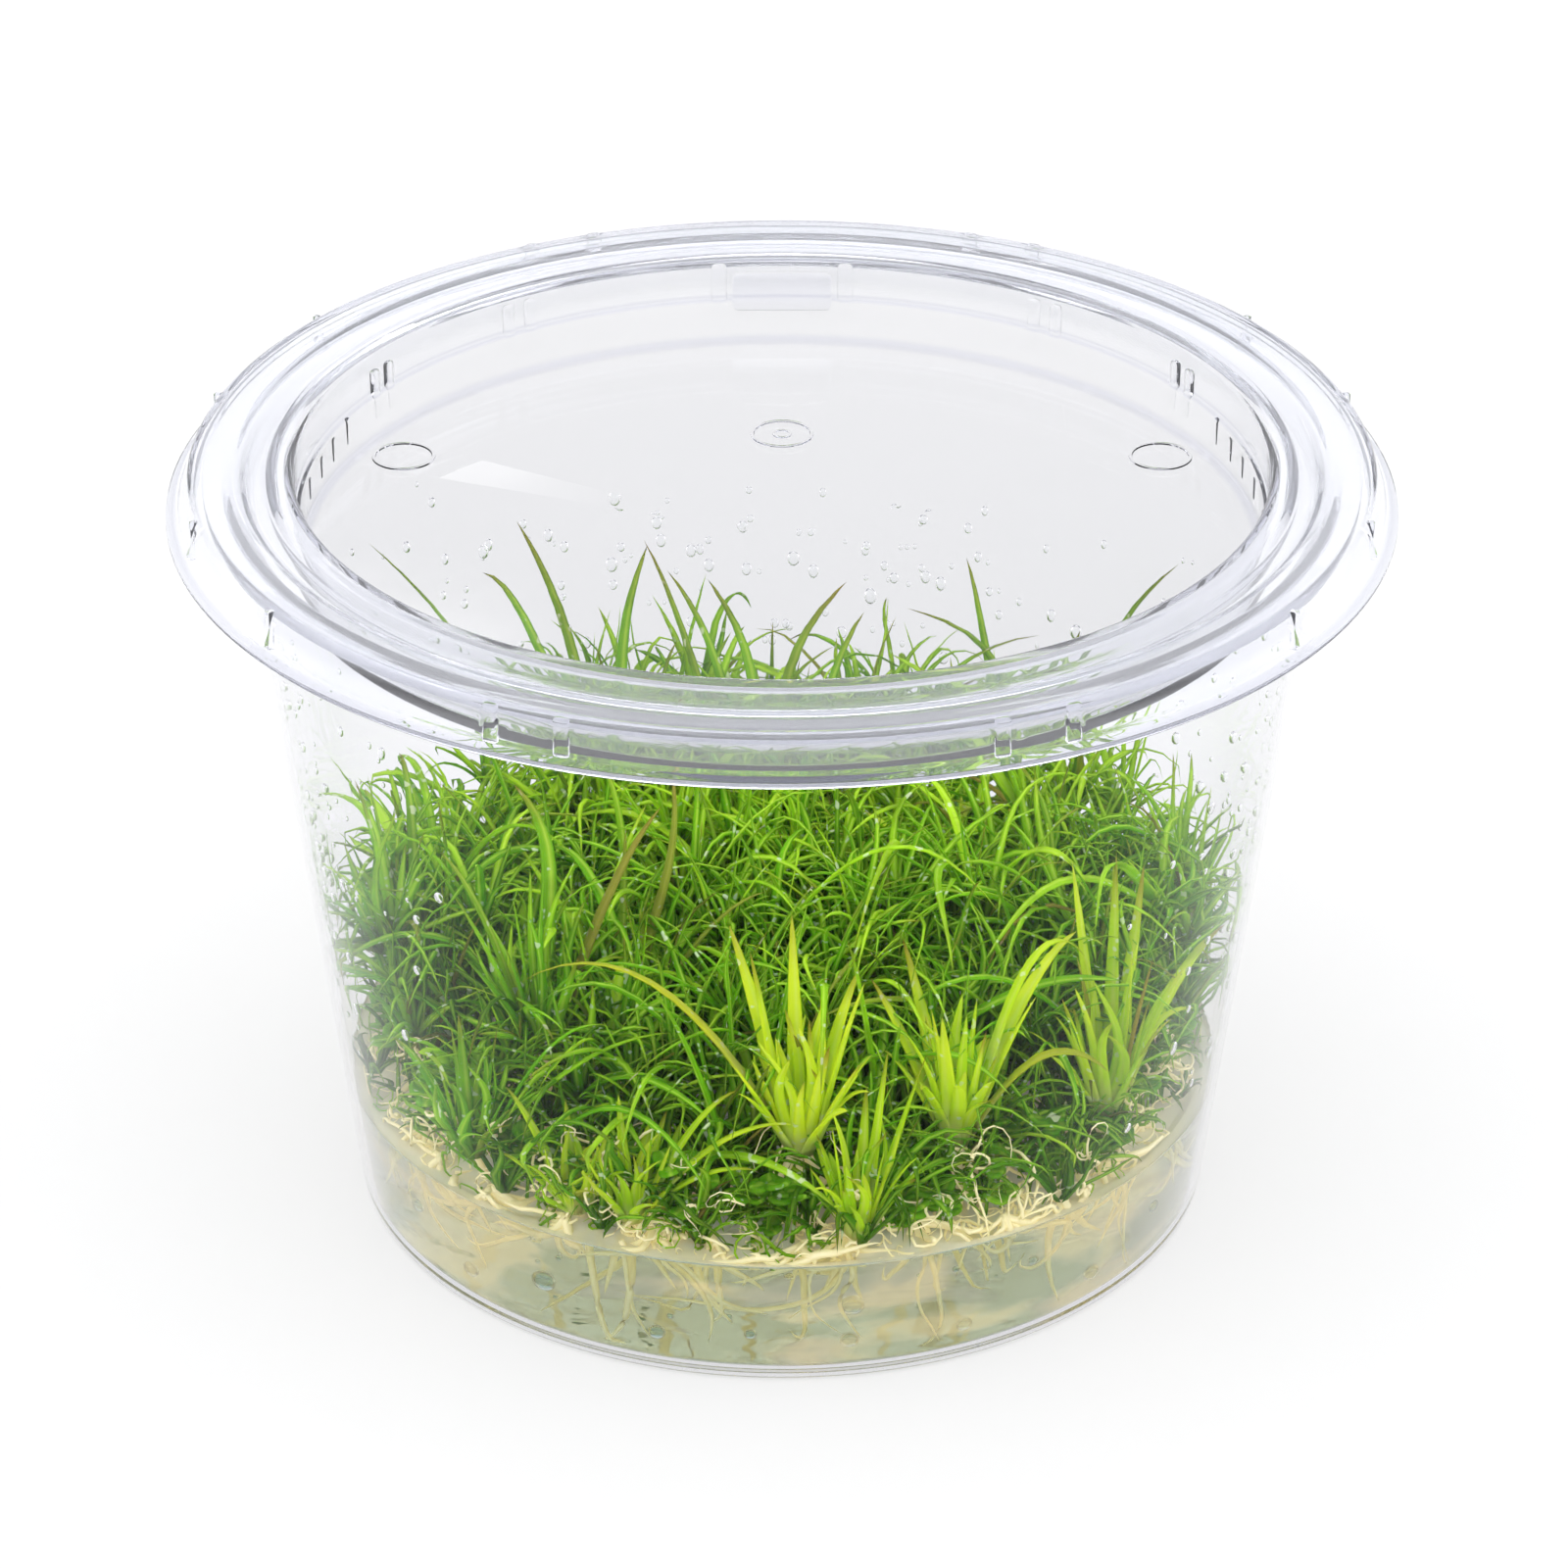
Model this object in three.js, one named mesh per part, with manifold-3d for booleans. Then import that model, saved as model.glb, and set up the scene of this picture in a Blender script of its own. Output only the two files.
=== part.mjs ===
// Tissue-cultured Eriocaulon cinereum: a bed of small grass-like plants on nutrient gel
// in a clear lidded cup. Millimetres, +Z up, origin at the middle of the cup's underside,
// and the side that is seen first faces -Y.
import * as THREE from 'three';
import { mergeVertices } from 'three/addons/utils/BufferGeometryUtils.js';
import Module from 'manifold-3d';

const wasm = await Module();
wasm.setup();

// Driving dimensions of the cup
const baseRadius = 35.9;
const mouthRadius = 43.8;
const wallTop = 62.3;
const wallThickness = 0.9;
const floorThickness = 1.0;
const flangeRadius = 46.9;
const flangeTop = 65.0;
const flangeThickness = 0.9;

// Driving dimensions of the lid
const sheet = 0.7;
const panelTop = 58.4;
const recessRadius = 39.4;
const crestTop = 66.1;
const landTop = 66.0;
const sealFloor = 64.9;
const landRadius = 47.2;
const lipRadius = 49.85;
const lipTop = 62.5;

// Driving dimensions of the gel and the plants
const gap = 0.3;
const gelTop = 11.0;
const gelEdge = 11.7;
const crownRadius = 1.8;
const crownStretch = 0.95;
const leafThickness = 0.55;
const rootWidth = 0.9;
const pocketClearance = 0.7;
const headroom = panelTop - sheet - gap;

const ringSides = 32;
const goldenAngle = Math.PI * (3 - Math.sqrt(5));
const upright = new THREE.Vector3(0, 0, 1);

const materials = {
  clearPlastic: new THREE.MeshStandardMaterial({ color: 0xeef0f6, roughness: 0.08, metalness: 0 }),
  gel: new THREE.MeshStandardMaterial({ color: 0xe9e2bd, roughness: 0.25, metalness: 0 }),
  brightLeaf: new THREE.MeshStandardMaterial({ color: 0xa5cf2e, roughness: 0.4, metalness: 0 }),
  greenLeaf: new THREE.MeshStandardMaterial({ color: 0x4f9a17, roughness: 0.4, metalness: 0 }),
};

const radians = THREE.MathUtils.degToRad;

// Radius of the cup's inner wall at a height
const innerRadius = (z) => baseRadius + (mouthRadius - baseRadius) * z / wallTop - wallThickness;

// A repeatable stream of numbers from 0 to 1
function numberStream(seed) {
  const multiplier = 16807;
  const modulus = 2147483647;
  let state = seed;
  return () => {
    state = (state * multiplier) % modulus;
    return state / modulus;
  };
}

// A closed geometry as a solid for joining and cutting
function solidOf(geometry) {
  const bare = geometry.clone();
  bare.deleteAttribute('normal');
  bare.deleteAttribute('uv');
  const merged = mergeVertices(bare, 1e-4);
  return new wasm.Manifold(new wasm.Mesh({
    numProp: 3,
    vertProperties: new Float32Array(merged.attributes.position.array),
    triVerts: new Uint32Array(merged.index.array),
  }));
}

function meshOf(name, solid, material) {
  const raw = solid.getMesh();
  const geometry = new THREE.BufferGeometry();
  geometry.setAttribute('position', new THREE.BufferAttribute(raw.vertProperties, 3));
  geometry.setIndex(new THREE.BufferAttribute(raw.triVerts, 1));
  geometry.computeVertexNormals();
  const mesh = new THREE.Mesh(geometry, material);
  mesh.name = name;
  return mesh;
}

// Turns a section of radius and height points round the upright axis
function turned(section) {
  const points = section.map(([r, z]) => new THREE.Vector2(r, z));
  const geometry = new THREE.LatheGeometry(points, ringSides);
  geometry.rotateX(Math.PI / 2);
  return solidOf(geometry);
}

// An upright block on a circle, at an angle from the front, its middle at a radius and height
function blockOnCircle(angle, radius, z, width, depth, height) {
  const geometry = new THREE.BoxGeometry(width, depth, height);
  geometry.translate(0, -radius, z);
  geometry.rotateZ(radians(angle));
  return solidOf(geometry);
}

function cupSolid() {
  const footRound = 0.8;
  return turned([
    [0, 0],
    [baseRadius - footRound, 0],
    [baseRadius + 0.1, footRound],
    [mouthRadius, wallTop],
    [mouthRadius + 1.4, flangeTop - flangeThickness],
    [flangeRadius, flangeTop - flangeThickness],
    [flangeRadius, flangeTop],
    [mouthRadius + 1.0, flangeTop],
    [mouthRadius - 0.6, wallTop + 0.9],
    [mouthRadius - wallThickness, wallTop],
    [innerRadius(floorThickness + 1), floorThickness + 1],
    [innerRadius(0) - 0.8, floorThickness],
    [0, floorThickness],
  ]);
}

// The lid's sheet: the underside outwards to the lip, then the top side back to the middle
function lidSheet() {
  const under = panelTop - sheet;
  const landUnder = landTop - sheet;
  return turned([
    [0, under],
    [recessRadius + 0.3, under],
    [recessRadius + 0.7, landUnder + 0.1],
    [recessRadius + 1.4, landUnder + 0.1],
    [recessRadius + 1.8, sealFloor - sheet],
    [recessRadius + 3.9, sealFloor - sheet],
    [recessRadius + 4.65, landUnder],
    [landRadius, landUnder],
    [lipRadius - 1.5, lipTop - 0.1],
    [lipRadius - 0.25, lipTop - 0.6],
    [lipRadius, lipTop - 0.3],
    [lipRadius - 0.05, lipTop],
    [lipRadius - 0.95, lipTop + 0.45],
    [landRadius + 0.7, landTop - 0.4],
    [landRadius, landTop],
    [recessRadius + 4.8, landTop],
    [recessRadius + 3.7, sealFloor],
    [recessRadius + 2.5, sealFloor],
    [recessRadius + 1.8, crestTop],
    [recessRadius + 0.4, crestTop],
    [recessRadius, crestTop - 0.6],
    [recessRadius - 0.4, panelTop],
    [0, panelTop],
  ]);
}

function lidSolid() {
  let lid = lidSheet();

  // Snap ribs down the skirt, mirrored left to right and front to back
  const ribWidth = 1.4;
  const ribFoot = lipTop + 0.3;
  const ribHead = landTop - 0.5;
  for (const angle of [20, 27, 55, 75.5]) {
    for (const turn of [angle, -angle, 180 - angle, angle - 180]) {
      const middle = (ribFoot + ribHead) / 2;
      lid = lid.add(blockOnCircle(turn, landRadius + 0.85, middle, ribWidth, 1.3, ribHead - ribFoot));
    }
  }

  // The wide stacking block at the back of the recess wall, and the lugs on both sides of it
  lid = lid.add(blockOnCircle(180, recessRadius - 0.35, panelTop + 1.9, 8.8, 1.5, 4.2));
  const lugs = [
    { angle: 8, width: 1.6, z: 63.0, height: 5.0 },
    { angle: 35, width: 3.4, z: 62.2, height: 5.6 },
    { angle: 59, width: 3.0, z: 61.8, height: 5.4 },
  ];
  for (const lug of lugs) {
    for (const side of [-1, 1]) {
      const angle = 180 + side * lug.angle;
      lid = lid.add(blockOnCircle(angle, recessRadius - 0.1, lug.z, lug.width, 1.0, lug.height));
    }
  }
  return lid;
}

function gelSolid(pockets) {
  const foot = floorThickness + gap;
  let gel = turned([
    [0, foot],
    [innerRadius(0) - 1.2, foot],
    [innerRadius(foot + 1.4) - gap, foot + 1.4],
    [innerRadius(gelEdge) - gap, gelEdge],
    [innerRadius(gelEdge) - 1.6, gelTop],
    [0, gelTop],
  ]);
  for (const pocket of pockets) {
    gel = gel.subtract(pocket);
  }
  return gel;
}

// A leaf or root as a curve: the middle of its chord is lifted by the arch
function strand(start, { azimuth, reach, rise, arch }) {
  const across = new THREE.Vector3(-Math.sin(azimuth), Math.cos(azimuth), 0);
  const end = new THREE.Vector3(
    start.x + reach * Math.cos(azimuth),
    start.y + reach * Math.sin(azimuth),
    start.z + rise,
  );
  const bend = start.clone().add(end).multiplyScalar(0.5).addScaledVector(upright, arch);
  return { curve: new THREE.QuadraticBezierCurve3(start, bend, end), across };
}

// Share of the full width at a place along a leaf, from 0 at its foot to 1 at its tip
const taper = (t) => Math.pow(1 - t, 0.6);

// A three-sided blade bent along a strand, flat side up and keel down
function bladeSolid({ curve, across }, width, thickness, steps) {
  const cone = new THREE.ConeGeometry(1, 1, 3, steps);
  const corners = cone.attributes.position;
  const corner = new THREE.Vector3();
  for (let i = 0; i < corners.count; i += 1) {
    corner.fromBufferAttribute(corners, i);
    const t = Math.min(1, Math.max(0, corner.y + 0.5));
    const share = t < 1 ? taper(t) / (1 - t) : 0;
    const keel = across.clone().cross(curve.getTangent(t));
    const place = curve.getPoint(t)
      .addScaledVector(across, corner.x * share * width / Math.sqrt(3))
      .addScaledVector(keel, corner.z * share * thickness / 1.5);
    corners.setXYZ(i, place.x, place.y, place.z);
  }
  return solidOf(cone);
}

// Shortest distance between two straight pieces, each given by its ends
function pieceDistance(a, b, c, d) {
  const u = b.clone().sub(a);
  const v = d.clone().sub(c);
  const w = a.clone().sub(c);
  const uu = u.dot(u);
  const uv = u.dot(v);
  const vv = v.dot(v);
  const uw = u.dot(w);
  const vw = v.dot(w);
  const bottom = uu * vv - uv * uv;
  let s = bottom > 1e-9 ? THREE.MathUtils.clamp((uv * vw - vv * uw) / bottom, 0, 1) : 0;
  const t = vv > 1e-9 ? THREE.MathUtils.clamp((uv * s + vw) / vv, 0, 1) : 0;
  s = uu > 1e-9 ? THREE.MathUtils.clamp((uv * t - uw) / uu, 0, 1) : 0;
  return w.addScaledVector(u, s).addScaledVector(v, -t).length();
}

// A strand as short straight pieces with the half width of each
function piecesOf({ curve }, width, steps) {
  const pieces = [];
  for (let i = 0; i < steps; i += 1) {
    pieces.push({
      from: curve.getPoint(i / steps),
      to: curve.getPoint((i + 1) / steps),
      half: taper(i / steps) * width / 2,
    });
  }
  return pieces;
}

// True where a strand keeps inside the wall, above the gel and under the lid
function insideCup(pieces) {
  return pieces.every(({ from, to, half }, i) => {
    const room = innerRadius(to.z) - gap - half;
    const low = i > 0 ? Math.min(from.z, to.z) : to.z;
    return Math.hypot(to.x, to.y) < room && to.z < headroom && low - half > gelTop + gap;
  });
}

// True where a strand keeps its distance from every piece of the other plants
function clearOfOthers(pieces, others) {
  return pieces.every((piece) => others.every((other) => (
    pieceDistance(piece.from, piece.to, other.from, other.to) > piece.half + other.half + gap
  )));
}

// The plants that stand out, by crown place and by leaf: direction in degrees, reach, rise and arch
const standouts = [
  {
    tone: 'bright', crown: [1.5, -27, 17.5], width: 1.7,
    leaves: [[134, 7, 17, 2], [160, 3, 17, 1], [100, 3, 19, 1], [-18, 4, 16, 2], [-143, 7, 12, 1],
      [172, 21.5, 13, 15], [-40, 5, 10, 1], [50, 6, 13, 3]],
    roots: [[-100, 3, -12], [-150, 6, -9], [-30, 5, -10]],
  },
  {
    tone: 'bright', crown: [14, -24, 16.5], width: 1.7,
    leaves: [[146, 7, 12, 2], [114, 9, 13, 1], [24, 10, 14, 15], [0, 5, 13, 2], [42, 12, 14, 6],
      [-105, 4, 14, 1], [-16, 11, 7, 9]],
    roots: [[-90, 4, -10], [-20, 4, -10]],
  },
  {
    tone: 'bright', crown: [26.5, -18, 15.5], width: 1.5,
    leaves: [[132, 5, 20, 2], [85, 6, 20, 1], [71, 8, 18, 1], [18, 5, 12, 3], [40, 12, 12, 5],
      [-131, 5, 13, 1]],
    roots: [[-150, 4, -9], [-110, 3, -10]],
  },
  {
    tone: 'bright', crown: [15.5, 9, 18.5], width: 1.5,
    leaves: [[122, 5, 10, 1], [94, 2, 10, 1], [39, 4, 9, 2], [166, 9, 9, 5], [-171, 14, 8, 5],
      [-40, 6, 7, 3]],
    roots: [[-90, 3, -10]],
  },
  {
    tone: 'bright', crown: [-12, -30.5, 13.3], width: 1.3,
    leaves: [[109, 2, 9, 0], [8, 7.5, 10, 4], [0, 12, 8, 5], [-12, 9, 5, 3], [64, 5, 6, 1]],
    roots: [[20, 4, -7], [170, 2, -8]],
  },
  {
    tone: 'bright', crown: [-16.5, -29, 13.2], width: 1.2,
    leaves: [[141, 6, 8, 2], [170, 5, 4, 1], [102, 3, 7, 1]],
    roots: [[60, 3, -6]],
  },
  {
    tone: 'bright', crown: [6, -32.8, 13.2], width: 1.3,
    leaves: [[60, 3.5, 14, 1], [35, 5.5, 14, 1], [140, 3, 7, 1], [82, 4, 10, 1], [8, 4, 5, 1]],
    roots: [[100, 2, -8], [170, 3, -6]],
  },
  {
    tone: 'green', crown: [-19.5, -14, 19.5], width: 1.9,
    leaves: [[170, 7, 17, 5], [95, 4, 23, 3], [38, 11, 18, 5], [-160, 6, 15, 2], [-60, 5, 11, 1],
      [-130, 8, 12, 1]],
    roots: [[-90, 3, -11], [150, 3, -11]],
  },
  {
    tone: 'green', crown: [-30, -7.5, 14.8], width: 1.2,
    leaves: [[150, 7, 15, 5], [122, 9, 21, 6], [112, 11, 20, 4], [-26, 5, 15, 3], [97, 10, 24, 8],
      [-140, 4, 8, 2]],
    roots: [[-90, 3, -7]],
  },
  {
    tone: 'green', crown: [-25, -23, 14.8], width: 1.6,
    leaves: [[-15, 15, 11, 5], [-6, 10, 12, 7], [150, 6, 8, 3], [105, 3, 10, 1]],
    roots: [[30, 3, -8]],
  },
  {
    tone: 'green', crown: [32.5, -2, 13.2], width: 1.2,
    leaves: [[58, 5, 21, 3], [88, 8, 22, 4], [27, 4, 15, 4], [136, 4, 17, 3], [-135, 6, 15, 2]],
    roots: [[-90, 2, -6]],
  },
  {
    tone: 'green', crown: [-13.5, -12, 17.5], width: 1.4,
    leaves: [[0, 11, 15, 6], [60, 9, 24, 2], [85, 6, 17, 2], [-80, 8, 13, 3]],
    roots: [[-90, 2, -9]],
  },
  {
    tone: 'green', crown: [-13.5, 14, 15.5], width: 1.6,
    leaves: [[135, 8.5, 36, 3], [168, 19, 35, 4], [88, 10, 31, 4], [150, 11, 31, 10], [-178, 11, 27, 9]],
    roots: [[-90, 2, -3.7]],
  },
  {
    tone: 'green', crown: [-1.5, 12, 15.5], width: 1.5,
    leaves: [[136, 11, 34, 3], [120, 11.5, 30, 4], [102, 12, 28, 4], [69, 10.5, 29, 4], [50, 10, 27, 3],
      [21, 22, 25, 8]],
    roots: [[-60, 2, -3.7]],
  },
  {
    tone: 'green', crown: [22, 16, 15.5], width: 1.3,
    leaves: [[122, 9, 30, 3], [134, 8, 28, 4], [165, 10, 21, 5], [27, 8.5, 33, 3], [70, 8, 23, 3]],
    roots: [[-60, 2, -3.7]],
  },
];

const plants = [];
const taken = [];

// Leaves of one plant, each turned a little further until it is clear of the other plants
function growLeaves(crown, specs, turns) {
  const foot = 0.72 * crownRadius;
  const grown = [];
  for (const spec of specs) {
    const steps = spec.arch > 5.5 ? 3 : 2;
    for (const turn of turns) {
      const azimuth = spec.azimuth + turn;
      const start = new THREE.Vector3(
        crown.x + foot * Math.cos(azimuth),
        crown.y + foot * Math.sin(azimuth),
        crown.z,
      );
      const path = strand(start, { ...spec, azimuth });
      const pieces = piecesOf(path, spec.width, steps);
      if (insideCup(pieces) && clearOfOthers(pieces, taken)) {
        grown.push({ path, pieces, width: spec.width, steps });
        break;
      }
    }
  }
  return grown;
}

function rememberPlant(plant) {
  plants.push(plant);
  const { crown } = plant;
  taken.push({ from: crown, to: crown, half: crownRadius * crownStretch });
  plant.leaves.forEach((leaf) => taken.push(...leaf.pieces));
  plant.roots.forEach((root) => taken.push(...root.pieces));
}

function growRoots(crown, specs) {
  return specs.map(([azimuth, reach, rise]) => {
    const path = strand(crown, { azimuth: radians(azimuth), reach, rise, arch: 0.15 * reach });
    return { path, pieces: piecesOf(path, rootWidth, 2), width: rootWidth };
  });
}

function plantStandouts() {
  const turns = [0, 3, -3, 6, -6, 9, -9, 13, -13, 18, -18, 24, -24].map(radians);
  for (const row of standouts) {
    const crown = new THREE.Vector3(...row.crown);
    const roots = growRoots(crown, row.roots);
    const specs = row.leaves.map(([azimuth, reach, rise, arch]) => (
      { azimuth: radians(azimuth), reach, rise, arch, width: row.width }
    ));
    const leaves = growLeaves(crown, specs, turns);
    rememberPlant({ crown, leaves, roots, tone: row.tone });
  }
}

// The bed: crowns on a spiral over the gel, each with a whorl of thin leaves
function plantBed() {
  const random = numberStream(5021);
  const seats = 29;
  const bedRadius = 33.5;
  const whorlLeaves = 5;
  const seatHeight = gelTop + gap + crownRadius * crownStretch + 0.05;
  const turns = [0, 12, -12, 24, -24, 36, -36].map(radians);
  for (let seat = 0; seat < seats; seat += 1) {
    const radius = bedRadius * Math.sqrt((seat + 0.5) / seats);
    const around = seat * goldenAngle;
    const crown = new THREE.Vector3(radius * Math.cos(around), radius * Math.sin(around), seatHeight);
    const whorl = random() * Math.PI * 2;
    const specs = [];
    for (let k = 0; k < whorlLeaves; k += 1) {
      const rise = 13 + 13 * random();
      const reach = 2 + 9 * random();
      const azimuth = whorl + k * 2 * Math.PI / whorlLeaves;
      specs.push({ azimuth, reach, rise, arch: reach / 2, width: 1.1 });
    }
    const stump = [{ from: crown, to: crown, half: crownRadius * crownStretch }];
    if (clearOfOthers(stump, taken)) {
      const leaves = growLeaves(crown, specs, turns);
      if (leaves.length > 3) {
        rememberPlant({ crown, leaves, roots: [], tone: 'green' });
      }
    }
  }
}

function plantSolid({ crown, leaves, roots }) {
  const bulb = new THREE.SphereGeometry(crownRadius, 5, 3);
  bulb.rotateX(Math.PI / 2);
  bulb.scale(1, 1, crownStretch);
  bulb.translate(crown.x, crown.y, crown.z);
  let solid = solidOf(bulb);
  for (const leaf of leaves) {
    solid = solid.add(bladeSolid(leaf.path, leaf.width, leafThickness, leaf.steps));
  }
  for (const root of roots) {
    solid = solid.add(bladeSolid(root.path, root.width, root.width, 2));
  }
  return solid;
}

// A pocket in the gel round a root, a little wider and longer, and open at the top
function pocketSolid(root) {
  const { curve, across } = root.path;
  const end = curve.v2.clone().addScaledVector(curve.getTangent(1), 2);
  const path = { curve: new THREE.QuadraticBezierCurve3(curve.v0, curve.v1, end), across };
  const width = root.width + 2 * pocketClearance;
  return bladeSolid(path, width, width, 2);
}

plantStandouts();
plantBed();

const pockets = plants
  .flatMap((plant) => plant.roots)
  .filter((root) => root.path.curve.v2.z < gelTop)
  .map(pocketSolid);
const part = new THREE.Group();
part.add(meshOf('cup', cupSolid(), materials.clearPlastic));
part.add(meshOf('lid', lidSolid(), materials.clearPlastic));
part.add(meshOf('agar_gel', gelSolid(pockets), materials.gel));
plants.forEach((plant, i) => {
  const name = `eriocaulon_${String(i + 1).padStart(2, '0')}`;
  const material = plant.tone === 'bright' ? materials.brightLeaf : materials.greenLeaf;
  part.add(meshOf(name, plantSolid(plant), material));
});

export default part;
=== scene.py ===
import math
import bmesh
import bpy
import numpy as np
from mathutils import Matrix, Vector


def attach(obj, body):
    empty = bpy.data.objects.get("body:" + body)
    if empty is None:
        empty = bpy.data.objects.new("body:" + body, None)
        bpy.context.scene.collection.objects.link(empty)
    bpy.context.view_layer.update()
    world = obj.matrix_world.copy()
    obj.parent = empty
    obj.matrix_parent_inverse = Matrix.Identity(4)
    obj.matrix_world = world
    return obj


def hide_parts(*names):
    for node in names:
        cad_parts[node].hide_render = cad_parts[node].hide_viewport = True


# A bed of tissue-cultured pipewort on nutrient gel, in its clear lidded cup
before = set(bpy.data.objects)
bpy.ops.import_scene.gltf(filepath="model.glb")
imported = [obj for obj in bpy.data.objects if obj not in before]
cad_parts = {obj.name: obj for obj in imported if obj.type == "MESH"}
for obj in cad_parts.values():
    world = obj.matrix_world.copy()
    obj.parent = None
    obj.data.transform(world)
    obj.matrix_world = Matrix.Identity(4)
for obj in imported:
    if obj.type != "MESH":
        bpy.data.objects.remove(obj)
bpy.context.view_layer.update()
mm = 0.001                                  # the tables below are in millimetres
print("frame loaded:", len(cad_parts), "nodes")


camera = {
    "place": (0, -449.05, 279.65),
    "pitch": 28.54,                         # degrees below the horizon
    "lens": 141.1,
    "sensor": 36,
    "axisPixel": 798,                       # column of the cup's axis
    "pictureWidth": 1600,
}


def addCamera():
    bpy.ops.object.select_all(action='DESELECT')
    tilt = math.radians(90 - camera["pitch"])
    bpy.ops.object.camera_add(location=Vector(camera["place"]) * mm, rotation=(tilt, 0, 0))
    shot = bpy.context.object
    shot.name = "photo_view"
    shot.data.lens = camera["lens"]
    shot.data.sensor_width = camera["sensor"]
    shot.data.shift_x = 0.5 - camera["axisPixel"] / camera["pictureWidth"]
    shot.data.clip_start = 0.01
    shot.data.clip_end = 20
    bpy.context.scene.camera = shot


addCamera()
print("camera placed")


# Small helpers for modelling

def startClean():
    if bpy.context.mode != 'OBJECT':
        bpy.ops.object.mode_set(mode='OBJECT')
    bpy.ops.object.select_all(action='DESELECT')


def choose(piece):
    startClean()
    bpy.context.view_layer.objects.active = piece
    piece.select_set(True)


def editAll():
    bpy.ops.object.mode_set(mode='EDIT')
    bpy.ops.mesh.select_all(action='SELECT')


def leaveEdit():
    bpy.ops.object.mode_set(mode='OBJECT')


def pick(piece, kind, test):
    # selects the vertices, edges or faces that pass a test
    bpy.ops.mesh.select_mode(type=kind)
    bpy.ops.mesh.select_all(action='DESELECT')
    mesh = bmesh.from_edit_mesh(piece.data)
    for part in {'VERT': mesh.verts, 'EDGE': mesh.edges, 'FACE': mesh.faces}[kind]:
        part.select_set(test(part))
    mesh.select_flush_mode()
    bmesh.update_edit_mesh(piece.data)


def applyModifier(piece, modifier):
    choose(piece)
    bpy.ops.object.modifier_apply(modifier=modifier.name)


def smooth(piece, angle):
    choose(piece)
    bpy.ops.object.shade_smooth_by_angle(angle=math.radians(angle))


def onCircle(angle, radius, height):
    # the point on a circle round the axis, at an angle in radians from the front
    return np.array((radius * math.sin(angle), -radius * math.cos(angle), height))


def turnSection(name, corners, steps):
    # spins a closed section of (radius, height, rounding) corners round the upright axis
    startClean()
    bpy.ops.mesh.primitive_circle_add(vertices=len(corners), radius=mm, fill_type='NGON')
    piece = bpy.context.object
    piece.name = name
    for vertex, (radius, height, rounding) in zip(piece.data.vertices, corners):
        vertex.co = (radius * mm, 0, height * mm)
    editAll()
    for size in sorted({corner[2] for corner in corners} - {0}):
        spots = [Vector((r * mm, 0, z * mm)) for r, z, rounding in corners if rounding == size]
        pick(piece, 'VERT', lambda v: any((v.co - spot).length < 1e-6 for spot in spots))
        bpy.ops.mesh.bevel(offset=size * mm, segments=4, affect='VERTICES')
    bpy.ops.mesh.select_all(action='SELECT')
    bpy.ops.mesh.delete(type='ONLY_FACE')
    pick(piece, 'EDGE', lambda e: all(v.co.x < 1e-7 for v in e.verts))
    bpy.ops.mesh.delete(type='EDGE')
    bpy.ops.mesh.select_mode(type='VERT')
    bpy.ops.mesh.select_all(action='SELECT')
    bpy.ops.mesh.spin(steps=steps, angle=2 * math.pi, center=(0, 0, 0), axis=(0, 0, 1))
    bpy.ops.mesh.select_all(action='SELECT')
    bpy.ops.mesh.remove_doubles(threshold=1e-6)
    bpy.ops.mesh.normals_make_consistent(inside=False)
    leaveEdit()
    return piece


def finishPiece(piece, nodes=(), materials=()):
    for material in materials:
        piece.data.materials.append(material)
    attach(piece, "root")
    if nodes:
        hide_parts(*nodes)
    return piece


# Materials

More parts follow.
